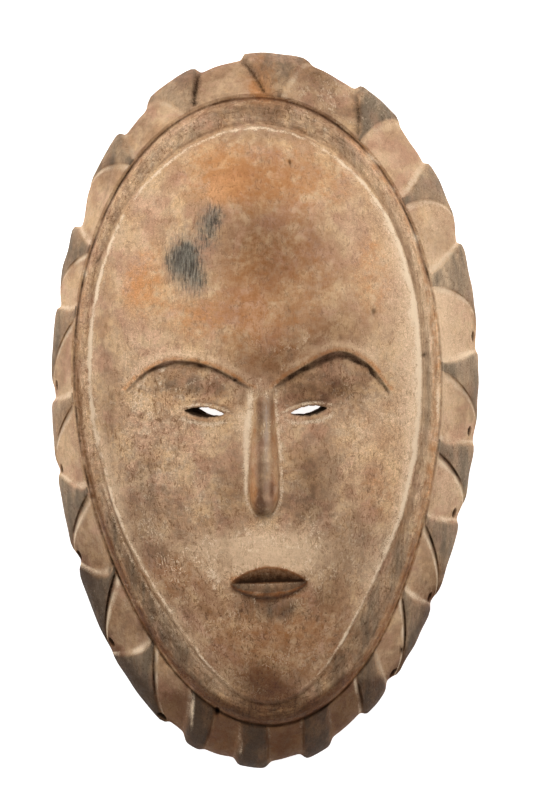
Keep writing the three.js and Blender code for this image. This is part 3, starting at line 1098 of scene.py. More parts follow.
    def fang_rows(self) -> list[Row]:
        """Rows over the fangs and the valleys between them.

        Returns:
            Turns, shares and heights of each row.
        """
        form, collar = self.carving.form, self.collar
        edge = collar.turns(np.array([1.0]))[0]
        edge_x, edge_y = form.plan(edge, form.outline.share(edge))
        steps = np.hypot(np.diff(edge_x), np.diff(edge_y))
        arc = np.concatenate([[0.0], np.cumsum(steps)])
        cuts = collar.eased(collar.dips(), arc, self.edge_ease)
        cuts += self.edge_rough * (waves(arc, 0 * arc, 9, 11) + 1)
        depths = collar.depths()
        soft_depths = collar.eased(depths, arc, self.edge_ease)
        in_valley = self.valley_rough * np.clip(depths, 0, 1)
        rows = []
        for s in self.collar_shares:
            t = collar.turns(np.array([s]))[0]
            across = s * (1 - cuts / form.collar_width(t))
            share = form.collar_share(t, across)
            x, y = form.plan(t, share)
            sunk = lerp(depths, soft_depths, smooth(s, 0.6, 1))
            sunk *= 0.3 * smooth(across, 0.02, 0.08) + 0.7 * smooth(across, 0.02, 0.4)
            sunk += self.edge_drop * smooth(s, 0.84, 1.06) ** 1.5
            sunk += in_valley * waves(x, y, 7, 12) * smooth(s, 0.1, 0.3)
            rows.append((t, share, form.front(t, share) - sunk + self.carving.uneven(x, y)))
        return rows

    def add_collar(self) -> None:
        """Adds the ring from just inside the edge of the face to the foot of the rim."""
        form = self.carving.form
        turns, shares, heights = self.collar_rows()
        rows, columns = turns.shape
        verts = self.grid(columns, rows - 1, Zone.COLLAR)
        xs, ys = form.plan(turns, shares)
        marks = {
            "fang": self.collar.fang_marks(),
            "rim": self.collar.rim_wear_and_highlight_marks(),
            "cut": self.collar.cut_marks(),
        }
        across = (shares - form.groove.share(turns)) * form.radius(turns)
        reach = across / form.collar_width(turns)
        cut_run = smooth(reach, 0.02, 0.12) * lerp(1, smooth(reach, 0.95, 0.6), 0.7)
        for n, vert in enumerate(verts):
            row, column = divmod(n, columns + 1)
            column %= columns
            vert.co = (xs[row, column], ys[row, column], heights[row, column])
            for name, values in marks.items():
                vert[self.layers[name]] = values[column] if across[row, column] > 0.6 else 0
            vert[self.layers["cut"]] *= float(cut_run[row, column])
        bmesh.ops.remove_doubles(self.bm, verts=verts, dist=self.merge)

    def add_face(self) -> None:
        """Adds the dome of the face as a square grid, refined at its carving, and joins it."""
        self.add_face_grid()
        self.refine(1)
        self.refine(0)
        front = [v for v in self.bm.verts if self.zone(v) == Zone.FRONT.value]
        places = np.array([v.co[:2] for v in front])
        for vert, height in zip(front, self.carving.surface(*places.T)):
            vert.co.z = height
        inner = self.loop_edges(lambda v: self.zone(v) == Zone.FRONT.value)
        outer = self.loop_edges(
            lambda v: self.zone(v) == Zone.COLLAR.value
            and v.co.z > self.carving.form.lowest_face
        )
        bmesh.ops.bridge_loops(self.bm, edges=inner + outer)

    def add_face_grid(self) -> None:
        """Adds the flat grid of the face, trimmed to just inside its edge."""
        form = self.carving.form
        columns, rows = (round(2 * reach / self.cell) for reach in self.face_reach)
        verts = self.grid(columns, rows, Zone.FRONT)
        for vert in verts:
            vert.co.x *= self.face_reach[0]
            vert.co.y *= self.face_reach[1]
        places = np.array([v.co[:2] for v in verts])
        limit = self.face_margin - self.face_trim
        outside = dict(zip(verts, self.carving.from_face_edge(*places.T) > limit))
        faces = {face for vert in verts for face in vert.link_faces}
        gone = [face for face in faces if any(outside[vert] for vert in face.verts)]
        bmesh.ops.delete(self.bm, geom=gone, context="FACES")
        for vert in [v for v in set(verts) if v.is_valid and v.is_boundary]:
            t, _ = form.polar(vert.co.x, vert.co.y)
            goal = form.face.share(t) + (self.face_margin - self.face_rim) / form.radius(t)
            vert.co.x, vert.co.y = form.plan(t, goal)

    def refine(self, limit: float) -> None:
        """Halves the cells of the face where its detail is under a limit.

        Args:
            limit: The limit.
        """
        front = Zone.FRONT.value
        faces = [f for f in self.bm.faces if all(self.zone(v) == front for v in f.verts)]
        middles = np.array([f.calc_center_median()[:2] for f in faces])
        chosen = self.carving.detail(*middles.T) < limit
        edges = {e for f, on in zip(faces, chosen) if on for e in f.edges}
        bmesh.ops.subdivide_edges(self.bm, edges=list(edges), cuts=1, use_grid_fill=True)

    def loop_edges(self, inside: Callable[[Vert], bool]) -> list[Edge]:
        """Open edges whose two vertices both pass a test."""
        return [e for e in self.bm.edges if e.is_boundary and all(inside(v) for v in e.verts)]

    def add_hollow(self) -> None:
        """Adds the hollowed back, closes its pole and joins it to the flat rim."""
        form = self.carving.form
        columns, rows = self.hollow_columns, len(self.hollow_shares) - 1
        verts = self.grid(columns, rows, Zone.HOLLOW)
        for n, vert in enumerate(verts):
            row, column = divmod(n, columns + 1)
            t = np.array(2.0 * np.pi * (column % columns) / columns)
            x, y = form.plan(t, self.hollow_shares[row] * form.mouth_share(t))
            vert.co = (x, y, self.hollow_height(x, y) if row else 0)
        bmesh.ops.remove_doubles(self.bm, verts=verts, dist=self.merge)
        bmesh.ops.bridge_loops(self.bm, edges=self.loop_edges(lambda v: v.co.z < 0.5))

    def hollow_height(self, x: Array, y: Array) -> Array:
        """Height of the hollow with the shallow gouge cuts that roughed it out."""
        height = self.carving.form.hollow(x, y)
        cuts = 0.8 * waves(x, y * 0.35, 9, 21) + 0.4 * waves(x, y, 15, 22)
        return height - np.abs(cuts) * smooth(height, 4, 25)

    def skin(self, zone: Zone, eye: Eye, shift: Shift, reach: float) -> list[Face]:
        """Faces of one skin whose middles are within a reach of a slit, 1 at its edge."""
        faces = [f for f in self.bm.faces if all(self.zone(v) == zone.value for v in f.verts)]
        middles = np.array([f.calc_center_median()[:2] for f in faces])
        return [f for f, on in zip(faces, eye.out(*middles.T, shift) < reach) if on]

    def open_slit(
        self,
        zone: Zone,
        eye: Eye,
        shift: Shift,
        surface: Callable[[Array, Array], Array],
        finer: int = 0,
    ) -> list[Edge]:
        """Opens a slit in one skin of the mask.

        Args:
            zone: The zone that the skin belongs to.
            eye: The slit.
            shift: How far the slit is moved aside in this skin.
            surface: Height of the skin over a place.
            finer: How often the skin is halved round the slit first.

        Returns:
            The open edges round the slit.
        """
        for _ in range(finer):
            edges = {edge for face in self.skin(zone, eye, shift, 1.9) for edge in face.edges}
            bmesh.ops.subdivide_edges(self.bm, edges=list(edges), cuts=1, use_grid_fill=True)
        before = {edge for edge in self.bm.edges if edge.is_boundary}

        def fresh() -> list[Edge]:
            """Open edges that this slit has made."""
            return [e for e in self.bm.edges if e.is_boundary and e not in before]

        gone = self.skin(zone, eye, shift, 1)
        while gone:
            bmesh.ops.delete(self.bm, geom=gone, context="FACES")
            ends = Counter(vert for edge in fresh() for vert in edge.verts)
            gone = list({f for vert, count in ends.items() if count > 2 for f in vert.link_faces})
        torn = list({vert for edge in fresh() for vert in edge.verts})
        for vert in torn:
            vert.co.x, vert.co.y = eye.snap(vert.co.x, vert.co.y, shift)
            vert.co.z = surface(np.array([vert.co.x]), np.array([vert.co.y]))[0]
        bmesh.ops.remove_doubles(self.bm, verts=torn, dist=self.closest)
        return fresh()

    def cut_eye(self, eye: Eye) -> None:
        """Cuts a slit eye through both skins and lines the cut.

        Args:
            eye: The eye.
        """
        ring = self.open_slit(Zone.FRONT, eye, (0, 0), self.carving.surface)
        deep = self.carving.form.hollow_height - self.tunnel_clearance
        earlier = 0
        for share in self.tunnel_steps:
            made = bmesh.ops.extrude_edge_only(self.bm, edges=ring)["geom"]
            ring = [g for g in made if isinstance(g, Edge) and g.is_boundary]
            step = share - earlier
            for vert in (g for g in made if isinstance(g, Vert)):
                vert.co.z = lerp(vert.co.z, deep, step / (1 - earlier))
                vert.co.x += eye.back[0] * step
                vert.co.y += eye.back[1] * step
                vert[self.layers["zone"]] = float(Zone.TUNNEL.value)
            earlier = share
        back = self.open_slit(Zone.HOLLOW, eye, eye.back, self.hollow_height, 3)
        bmesh.ops.bridge_loops(self.bm, edges=ring + back)

    def bore(self, hole: EdgeHole) -> None:
        """Bores one slanting fixing hole into the edge of the collar.

        Args:
            hole: The hole.
        """
        along, axis = hole.directions(self.carving.form)
        near = (v for v in self.bm.verts if math.dist(v.co[:2], (hole.x, hole.y)) < hole.search)
        middle = Vector((hole.x, hole.y, max(v.co.z for v in near) - hole.sunk))
        for reach in (2.6, 1.9):
            close = [
                face
                for face in self.bm.faces
                if hole.out(face.calc_center_median() - middle, along, axis) < reach
            ]
            edges = list({edge for face in close for edge in face.edges})
            bmesh.ops.subdivide_edges(self.bm, edges=edges, cuts=1, use_grid_fill=True)
        for vert in self.bm.verts:
            inside = float(smooth(hole.out(vert.co - middle, along, axis), 1.15, 0.7))
            if inside > 0 and vert.co.z > hole.lowest:
                vert.co += axis * hole.depth * inside
                vert[self.layers["pit"]] = inside


@dataclass(frozen=True)
class Patch:
    """An uneven oval patch on the face, for stains, dust and painted shade: its middle, half sizes,
    lean and strength.
    """

    x: float
    y: float
    across: float
    up: float
    amount: float
    lean: float = 0.0

    def spread(self, x: Array, y: Array) -> Array:
        """Strength of the patch at each place."""
        a, b = turned(x - self.x, y - self.y, self.lean)
        return self.amount * np.exp(-((a / self.across) ** 2) - (b / self.up) ** 2)


def patches(*rows: tuple[float, ...]) -> tuple[Patch, ...]:
    """Patches, each from its middle, half sizes, strength and lean."""
    return tuple(Patch(*row) for row in rows)


@dataclass(frozen=True)
class Places:
    """Places on the mask, in millimetres, and what the marks need to know of each.

    Zone is the number of its zone. Front is 1 on the carved front, and face is 1 inside the
    edge of the face. Edge and groove are the distances outwards from the edge of the face and
    from the groove.
    """

    x: Array
    y: Array
    zone: Array
    front: Array
    face: Array
    edge: Array
    groove: Array


def spread(stains: tuple[Patch, ...], at: Places) -> Array:
    """Strengths of several patches added up."""
    return sum(stain.spread(at.x, at.y) for stain in stains)


@dataclass(frozen=True)
class Patina:
    """Where the wood is stained, worn, dusty or burnt, and where shade and highlights are painted on
    it.
    """

    carving: Carving
    line_squeeze: float = 0.14
    rubbed_lip: Patch = Patch(0.0, -90.0, 40.0, 12.0, 1.0)
    # Dark stains, some of them painted shade: under and between the brows, in the sockets, under the
    # nose's tip and below the lips.
    darks: tuple[Patch, ...] = patches(
        (-8, 108, 26, 32, 0.5), (22, 96, 26, 30, 0.3), (-2, 30, 22, 14, 0.5),
        (-32, 13, 18, 7, 0.5), (-58, 18, 16, 7, 0.3), (36, 14, 32, 11, 0.7),
        (28, 40, 28, 12, 0.35, 20), (29, -46, 15, 32, 0.66), (-66, -48, 26, 34, 0.16),
        (-24, -50, 12, 30, 0.4), (-82, -74, 14, 30, 0.3), (46, -96, 14, 14, 0.35),
        (0, -127, 22, 7, 0.15), (-4, -168, 15, 9, 0.6), (6, -182, 15, 9, 1.0),
        (8, -196, 36, 6, 0.9), (-3.6, -61, 4, 6, 0.9), (3.4, -51, 1.8, 4, 0.5),
        (-14, 6, 3.5, 7, 0.45), (23.5, -106, 3, 4, 0.6), (4, -120, 20, 4.0, 0.25),
        (-40, -176, 26, 12, 0.1, -30), (-58, -100, 30, 26, 0.38), (8, -150, 60, 20, 0.25),
        (14, -210, 80, 20, 1.15), (-60, -205, 34, 20, 0.45), (84, -176, 18, 16, 0.6),
        (0, 190, 44, 9, 0.5), (-4, 172, 50, 6, 0.35), (46, 182, 18, 10, 0.4),
        (-6, 70, 24, 40, 0.2), (46, 50, 20, 20, 0.25), (-14, 214, 30, 12, 0.4),
        (30, 210, 22, 14, 0.6), (-108, 60, 12, 70, 0.15), (-130, 30, 7, 34, 0.3),
        (-121, 101, 7, 10, 0.35), (-44, 203, 22, 10, 0.45), (-84, 180, 16, 18, 0.45),
        (20, 5, 13, 6, 0.5), (48, 6, 14, 10, 0.3), (-114, -112, 16, 44, 0.85),
        (-99, -166, 10, 18, 1.1), (-74, -140, 14, 14, 0.4), (104, -122, 10, 14, 0.5),
        (64, -184, 14, 12, 0.9), (38, -118, 12, 14, 0.5), (54, -80, 16, 18, 0.35),
        (44, 30, 13, 5, 0.4), (-84, -40, 8, 14, 0.16), (-100, 152, 12, 14, 0.5),
        (10, -126, 15, 5, 0.15), (-6, 150, 52, 12, 0.2), (104, -110, 16, 30, 0.3),
        (38, 205, 14, 8, 0.3), (-91, -129, 9, 14, 0.25), (-86, -172, 12, 12, 0.6),
        (21, -217, 16, 7, 0.8), (30, 60, 60, 60, 0.12), (46, -196, 16, 14, 1.4),
        (-98, 0, 6, 40, 0.3), (110, 104, 9, 9, 0.25), (126, 4, 9, 16, 0.3),
    )
    pales: tuple[Patch, ...] = patches(
        (-2, -90, 44, 11, 2.3), (-34, -100, 8, 8, 0.7), (-14, -6, 5, 22, 0.7),
        (98, 30, 14, 44, 0.35), (22, -94, 20, 10, 0.8), (-26, -96, 16, 10, 0.8),
        (-60, -12, 20, 14, 0.3), (60, -8, 20, 16, 0.3), (78, 80, 22, 50, 0.45),
        (40, 100, 26, 40, 0.15), (-82, 70, 14, 60, 0.2), (-96, -60, 8, 40, 0.2),
        (40, -40, 9, 16, 0.45), (94, 10, 12, 66, 0.7), (112, 40, 12, 70, 0.3),
        (64, -100, 10, 26, 0.3), (-84, 6, 8, 40, 0.15), (44, -66, 8, 5, 0.5, 45),
        (113, 77, 11, 16, 0.4), (121, 31, 11, 16, 0.6), (-114, 10, 7, 60, 0.35),
        (-70, -56, 24, 26, 0.15), (-31, 134, 5, 8, 1.6), (4, 12, 8, 4, 0.6), (-11, 12, 4, 8, 0.6),
        (110, 70, 8, 60, 0.4), (114, -50, 9, 10, 0.45), (77, -165, 8, 8, 0.3),
    )
    ochres: tuple[Patch, ...] = patches(
        (-28, 150, 18, 14, 0.6), (-31, 134, 5, 8, 1.3), (-20, 138, 7, 8, 0.8),
        (-80, 74, 9, 12, 0.7), (-44, 58, 14, 12, 0.35), (-10, 72, 12, 26, 0.4),
        (4, 142, 40, 18, 0.7), (12, 92, 26, 26, 0.3), (-70, 82, 12, 20, 0.4),
        (66, 84, 10, 22, 0.4), (0, 66, 60, 30, 0.25), (0, 40, 20, 16, 0.3),
        (70, -50, 18, 30, 0.2), (-60, -104, 22, 14, 0.45), (12, -117, 12, 1.4, 0.6),
        (-20.5, -107, 2.6, 2.4, 0.9), (-8, -54, 3, 9, 0.6), (-4, 200, 6, 7, 1.0),
        (8, -144, 50, 28, 0.45), (-1, 208, 6, 12, 1.0), (0, -210, 60, 14, 0.2),
    )
    # The first of these is painted shade, greenish grey below the lower lip.
    greys: tuple[Patch, ...] = patches(
        (3, -125, 20, 8, 0.55), (28, -52, 12, 26, 0.1), (-70, -92, 7, 7, 0.3),
        (66, -84, 10, 12, 0.25), (-76, -52, 8, 10, 0.25), (-50, 14, 20, 6, 0.3),
    )
    scorches: tuple[Patch, ...] = patches(
        (-35, 114, 6.5, 12, 0.7), (-31, 122, 5.0, 5, 0.4), (-50, 90, 8.5, 14, 0.72),
        (-49, 97, 5, 6, 0.55), (-58, 92, 5, 8, 0.5), (-42, 79, 5.5, 8, 0.5),
        (-50, 93, 15, 20, 0.24),
    )
    coarse: tuple[Patch, ...] = patches(
        (-70, -25, 34, 36, 0.5), (-45, -100, 50, 50, 0.45), (50, -70, 40, 70, 0.35),
        (0, -150, 60, 40, 0.5), (40, 195, 30, 20, 0.6), (-50, 12, 34, 16, 0.6),
        (40, 12, 34, 16, 0.5),
    )
    crackles: tuple[Patch, ...] = patches(
        (-70, 0, 30, 26, 0.9), (-60, -60, 40, 40, 0.7), (-45, -105, 45, 34, 0.75),
        (-5, -92, 50, 18, 1.0), (30, -80, 36, 36, 0.6), (70, -10, 26, 30, 0.7),
        (44, 190, 26, 18, 1.0), (10, 44, 22, 14, 0.5), (36, 66, 26, 30, 0.35),
        (0, -150, 60, 30, 0.5), (-50, 16, 34, 14, 0.6), (40, 16, 34, 14, 0.15),
        (-60, 150, 30, 30, 0.25), (0, -5, 18, 34, 0.8),
    )
    chips: tuple[Patch, ...] = patches(
        (67, 156.5, 4.5, 1.5, 0.9, -45), (79.5, 137.6, 1.5, 1.6, 0.8),
        (93.5, 107.0, 2.0, 4.0, 0.9, 20), (107.5, 5.5, 1.2, 13.0, 0.8),
        (-113.4, 84.2, 1.4, 2.6, 0.7), (-34, -104, 3, 6, 0.45, 30), (-31, -109, 1.2, 4, 0.5, -20),
        (-64.7, 24.2, 2.4, 1.4, 0.8, 30),
    )
    edges: tuple[Patch, ...] = patches(
        (-16, -212, 1.1, 9, 0.45), (-46.2, -189, 1.1, 12, 0.8, -4),
    )

    def write(self, piece: bpy.types.Object) -> None:
        """Writes the marks that the finish reads onto the mesh.

        Args:
            piece: The mask's object, still in millimetres.
        """
        mesh = piece.data
        x, y, z = coordinates(mesh).T
        built = {name: self.taken(mesh, name) for name in MARKS}
        at = self.places(x, y, np.round(built["zone"]))
        marks = {**self.stains(at, built), **self.wear(at, built)}
        hollow = (at.zone == Zone.HOLLOW.value).astype(float)
        marks["hidden"] = np.maximum(hollow, smooth(z, 6, 1))
        for name, values in marks.items():
            layer = mesh.attributes.new(name, "FLOAT", "POINT")
            layer.data.foreach_set("value", np.ascontiguousarray(values, np.float32))
        ring = mesh.attributes.new("ring", "FLOAT_VECTOR", "POINT")
        ring.data.foreach_set("vector", np.ascontiguousarray(self.ring(at), np.float32).ravel())

    def taken(self, mesh: bpy.types.Mesh, name: str) -> Array:
        """Takes one of the builder's marks off the mesh.

        Args:
            mesh: The mesh.
            name: The name of the mark.

        Returns:
            Its values, one per vertex.
        """
        layer = mesh.attributes[name]
        values = np.zeros(len(mesh.vertices), np.float32)
        layer.data.foreach_get("value", values)
        mesh.attributes.remove(layer)
        return values

    def places(self, x: Array, y: Array, zone: Array) -> Places:
        """What the marks need to know of some places.

        Args:
            x: Places across.
            y: Places up.
            zone: Numbers of their zones.

        Returns:
            The places.
        """
        edge, groove = self.carving.from_face_edge(x, y), self.carving.from_groove(x, y)
        front = (zone <= Zone.COLLAR.value).astype(float)
        return Places(x, y, zone, front, front * (edge < 0.5), edge, groove)

    def stains(self, at: Places, built: dict[str, Array]) -> dict[str, Array]:
        """The marks of what has been added to the wood, and of painted shade and highlights.

        Args:
            at: The places.
            built: The builder's marks at the places.

        Returns:
            Amounts for each mark's name.
        """
        uneven = 0.7 + 0.3 * waves(at.x, at.y, 7, 36)
        high = 1 - 0.4 * smooth(at.y, 140, 190)
        # Pale worn rims, with painted highlight on the steep walls, fainter towards the bottom and
        # the top.
        rims = built["rim"] * uneven * (1 - 0.65 * smooth(-at.y, 150, 205)) * high
        rims += self.strips(at) * at.face + spread(self.edges, at) * at.front
        # Grey on the band and in patches, with the painted grey highlight along the nose's ridge.
        grey = self.grey_band(at) + 0.4 * self.ridge(at) + spread(self.greys, at)
        # The edge holes and the eye slits' inner walls are painted dark as their shade.
        cuts = 1.1 * built["cut"] + 1.6 * built["pit"]
        tunnel = (at.zone == Zone.TUNNEL.value).astype(float)
        return {
            "dark": self.dark(at),
            "pale": self.pale(at) * at.front + 0.3 * rims,
            "cream": self.cream(at) * at.front,
            "rim": rims,
            "soot_and_shade": self.soot_and_shade(at) * at.front + cuts + 1.5 * tunnel,
            "rust": self.rust(at),
            "fang": built["fang"] + (grey + 0.5 * self.lips(at, 0.2, 0.48)) * at.front,
            "scorch": spread(self.scorches, at) * at.face,
        }

    def wear(self, at: Places, built: dict[str, Array]) -> dict[str, Array]:
        """The marks of polish, the painted highlight on the nose, grain and crackle.

        Args:
            at: The places.
            built: The builder's marks at the places.

        Returns:
            Amounts for each mark's name.
        """
        polish = self.polish(at) * at.face
        valley = at.front * smooth(at.groove, 0.5, 2) * (built["fang"] < 0.3)
        return {
            "polish": polish,
            "painted_nose_highlight": self.painted_nose_highlight(at) * at.face,
            "band": self.on_band(at) * at.front,
            "grain": self.grain(at) * (1 - 0.4 * valley) * (1 - 0.6 * polish),
            "crackle": spread(self.crackles, at) * (at.front - self.lips(at, 0, 1)),
        }

    def ring(self, at: Places) -> Array:
        """Places shortened along the band round the face, for lines that run along it."""
        form = self.carving.form
        t, _ = form.polar(at.x, at.y)
        along, up = form.plan(t, np.full(np.shape(t), self.line_squeeze))
        return np.stack([along, up, at.groove], axis=1) * MM

    def on_band(self, at: Places) -> Array:
        """How far a place is on the band round the face."""
        return smooth(at.edge, 0, 2) * smooth(at.groove, 0.5, -0.5)

    def grain(self, at: Places) -> Array:
        """How strongly the fine flecks of the wood show."""
        grain = 0.6 + 0.3 * self.on_band(at) * smooth(at.x, 70, 0) + spread(self.coarse, at)
        return grain - 0.55 * self.rubbed_lip.spread(at.x, at.y)

    def painted_nose_highlight(self, at: Places) -> Array:
        """The painted highlight, a pale streak down the polished ridge of the nose."""
        streak = bell(at.x - self.carving.nose.x - 1.5, 1.3) * self.polish(at)
        return streak * smooth(at.y, -62, -44) * lerp(0.45, 1, smooth(at.y, -35, -15))

    def strips(self, at: Places) -> Array:
        """The pale kaolin left in the corners along both sides of the nose.

        Args:
            at: The places.

        Returns:
            One amount per place.
        """
        away = self.carving.nose.away(at.x, at.y)
        uneven = np.clip(0.85 + 0.4 * waves(at.x, at.y, 9, 39), 0.4, 1.15)
        high = smooth(at.y, -45, -15)
        left = lerp(0.95, 1.15, high) * bell(away - 1.2 * high, lerp(1.1, 2.2, high))
        right = 0.45 * bell(away + 0.5, 0.9)
        beside = smooth(at.y, -74, -60) * smooth(at.y, 18, 0)
        return np.where(at.x < self.carving.nose.x, left, right) * beside * uneven

    def ridge(self, at: Places) -> Array:
        """The grey painted highlight along the ridge of the nose."""
        crest = bell(at.x - self.carving.nose.x + 0.2, 3.2)
        return crest * self.polish(at) * smooth(at.y, -62, -40)

    def pale(self, at: Places) -> Array:
        """Where the wood is dusty and pale.

        Args:
            at: The places.

        Returns:
            One amount per place.
        """
        x, y, edge = at.x, at.y, at.edge
        dusty = spread(self.pales, at)
        low_left = smooth(x, -20, -50) * smooth(-y, -10, 40) * smooth(-y, 190, 150)
        right = smooth(x, 20, 90) * smooth(np.abs(y), 170, 90)
        inner = 0.9 * low_left * bell(edge + 2.5, 3.2) + 0.7 * right * bell(edge + 3, 3.5)
        dusty += inner * at.face + 0.5 * low_left * bell(edge - 2.4, 1)
        chin = smooth(-y, 90, 130)
        dusty += 1.5 * bell(edge - 2.6, 2.2) * bell(x + 42, 20) * chin
        dusty += 0.6 * bell(edge - 4.5, 2.6) * bell(x + 66, 30) * chin
        sides = smooth(y, 40, 90) * smooth(np.abs(x), 25, 60)
        dusty += 0.2 * sides * self.on_band(at)
        for brow in self.carving.brows:
            _, along = brow.below(x, y)
            ends = smooth(along, 0, 0.2) * smooth(along, 1, 0.8)
            dusty += 0.75 * ends * bell(brow.distance(x, y) + 4.4, 3) * at.face
        return dusty

    def grey_band(self, at: Places) -> Array:
        """The greyer inner half of the band round the face.

        Args:
            at: The places.

        Returns:
            One amount per place.
        """
        inside = smooth(at.edge, 1.5, 4) * smooth(at.groove, -3, -8)
        low = smooth(np.abs(at.y + 120), 90, 20)
        high = smooth(at.y, 120, 165)
        right = bell(at.x - 104, 8) * bell(at.y - 5, 50)
        left = bell(at.x + 88, 30) * bell(at.y + 115, 55)
        return inside * np.clip(0.1 + 0.42 * low + 0.15 * high + 0.4 * right + 0.15 * left, 0, 1)

    def dark(self, at: Places) -> Array:
        """How dark the wood is made: its stains, darker towards the bottom, and painted shade.

        Args:
            at: The places.

        Returns:
            One amount per place.
        """
        form = self.carving.form
        stained = spread(self.darks, at) + 0.35 * smooth(-at.y, 40, 215)
        stained += self.dark_band(at) * smooth(at.edge, 0.5, 1.5)
        # Painted shade where the collar's edge curves away at the bottom.
        t, share = form.polar(at.x, at.y)
        reach = (share - form.outline.share(t)) * form.radius(t)
        stained += 0.7 * smooth(reach, -9, 0) * smooth(-at.y, 40, 200)
        return np.clip(stained, 0, 1.5) * at.front + self.dark_features(at) * at.face

    def dark_band(self, at: Places) -> Array:
        """The dark lines that run along the band round the face.

        Args:
            at: The places.

        Returns:
            One amount per place.
        """
        x, y, edge, groove = at.x, at.y, at.edge, at.groove
        step = 0.3 * bell(edge - 2, 1.2) * smooth(y, 20, 150)
        right_step = 0.35 * bell(edge - 3.2, 2.2) + 0.3 * bell(edge - 1.3, 0.8)
        step += right_step * smooth(x, 60, 90) * smooth(np.abs(y - 20), 140, 80)
        red_line = 0.75 * bell(groove + 2.8, 1.5) * smooth(x, -20, -60) * smooth(y, 50, 10)
        right_line = 0.5 * bell(groove + 1.8, 1.2) * smooth(x, 40, 70)
        right_line *= smooth(y, 120, 90) * smooth(np.abs(y), 60, 95)
        right_line += 0.6 * bell(groove + 1.3, 1.2) * smooth(y, 60, 130)
        bottom = 0.7 * smooth(groove, -1, 1.5) * smooth(-y, 165, 190)
        bottom += 0.95 * bell(groove + 4.6, 2.6) * smooth(-y, 150, 178)
        outer = smooth(x, 40, 70) * smooth(np.abs(y + 20), 130, 90)
        bottom += 0.3 * bell(groove + 3.4, 1.8) * outer
        return step + red_line + right_line + bottom

    def dark_features(self, at: Places) -> Array:
        """How dark the lips and the nose are stained, with painted shade on the upper lip, which
        faces down, and a painted shadow below the lower lip.

        Args:
            at: The places.

        Returns:
            One amount per place.
        """
        across = at.x - self.carving.nose.x
        stripe = 0.55 * bell(across + 2.6, 1.9) + 0.3 * bell(across - 5, 1.4)
        features = 0.5 * self.lips(at, 0, 0.5) + 0.7 * self.lips(at, 0.5, 1)
        features += (0.22 + stripe) * self.polish(at)
        # The line under the lower lip is a painted shadow.
        return features + 0.7 * self.lip_line(at, -1.08, 1.8) + 0.3 * self.lip_line(at, 1.02, 1)

    def lip_line(self, at: Places, row: float, width: float) -> Array:
        """A line along the lips at one of their rows, with a width in millimetres."""
        mouth = self.carving.mouth
        share, rows = mouth.row(at.x, at.y)
        tall = np.maximum(arch(share) ** 0.8, 0.03) * mouth.upper
        return bell((rows - row) * tall, width) * smooth(np.abs(share - 0.5), 0.51, 0.46)

    def lips(self, at: Places, low: float, high: float) -> Array:
        """How far a place is on the lips, between two shares of their height."""
        share, row = self.carving.mouth.row(at.x, at.y)
        above = smooth(row, 2 * low - 1.1, 2 * low - 0.96)
        under = smooth(row, 2 * high - 0.9, 2 * high - 1.04)
        return smooth(np.abs(share - 0.5), 0.52, 0.43) * (above * under)

    def cream(self, at: Places) -> Array:
        """Where the ridges are rubbed or filled with pale kaolin, with a painted highlight along the
        top edge of the lower lip.

        Args:
            at: The places.

        Returns:
            One amount per place.
        """
        x, y = at.x, at.y
        pale = self.cream_edge(at)
        away = self.carving.nose.away(x, y)
        uneven = np.clip(0.75 + 0.5 * waves(x, y, 5, 39), 0.2, 1.1)
        beside = smooth(y, -70, -52) * smooth(y, 20, 8) * uneven
        strips = np.where(x < self.carving.nose.x, 0.3 * bell(away, 1.8), 0.5 * bell(away + 0.5, 1.1))
        pale += beside * (strips + 0.15 * bell(away - 1.5, 3)) * at.face
        for eye in self.carving.eyes:
            along, up = eye.local(x, y)
            upper = 0.45 * eye.lid_line(along, up, 4.6, 0.012, 1)
            pale += (0.72 * eye.lower_lid(along, up) + upper) * at.face
        # The line along the top of the lower lip is a painted highlight.
        return pale + 0.2 * self.lip_line(at, -0.12, 0.6) * at.face + spread(self.chips, at)

    def cream_edge(self, at: Places) -> Array:
        """The pale worn line at the edge of the face.

        Args:
            at: The places.

        Returns:
            One amount per place.
        """
        x, y = at.x, at.y
        left = bell(x + 108, 10) * bell(y - 10, 45)
        right = smooth(x, 20, 90) * smooth(np.abs(y), 170, 90)
        rubbed = 0.85 + 0.6 * waves(x, y, 18, 31) + 0.45 * waves(x, y, 5, 34)
        rubbed = np.clip(rubbed, lerp(0.1, 0.75, right), 1.4)
        inwards = 0.8 + 0.7 * smooth(y, 120, 170)
        inwards += 1.2 * smooth(x, -30, -70) * smooth(-y, 70, 100)
        inwards -= smooth(x, 40, 70) * smooth(-y, 80, 130)
        edge = at.edge + inwards - 2.4 * left + 0.45 * waves(x, y, 8, 35)
        line = (1.15 + 0.35 * right) * bell(edge, 0.85 + 0.35 * right + 0.7 * left)
        line += lerp(0.14, 0.42, right) * bell(edge + 2, 3)
        chin = smooth(np.abs(x - 2), 36, 14) * smooth(-y, 100, 150)
        low = smooth(-y, 20, 90) * lerp(0.3, 0.5, smooth(x, -20, -80))
        top = 0.3 + 0.2 * bell(x - 12, 34)
        worn = (1 - low) * (1 - top * smooth(y, 120, 160)) * (1 - chin)
        second = 0.4 * bell(at.edge - 2.8, 0.8) * smooth(x, -20, -50) * smooth(y, -20, -60)
        return line * rubbed * worn + second * rubbed

    def soot_and_shade(self, at: Places) -> Array:
        """Where dirt has gathered in the cuts, with painted shade under the brows, at the eye slits,
        at the lips, under the nose's tip and in the pits.

        Args:
            at: The places.

        Returns:
            One amount per place.
        """
        carving, x, y = self.carving, at.x, at.y
        patchy = np.clip(0.8 + 0.5 * waves(x, y, 12, 32), 0.2, 1.2)
        dirt = self.groove_dirt(at, patchy) + self.feature_dirt_and_shade(at) * at.face
        # Painted shadow under each brow line.
        for brow in carving.brows:
            dirt += brow.dirt(x, y) * np.clip(patchy, 0.6, 1) * at.face
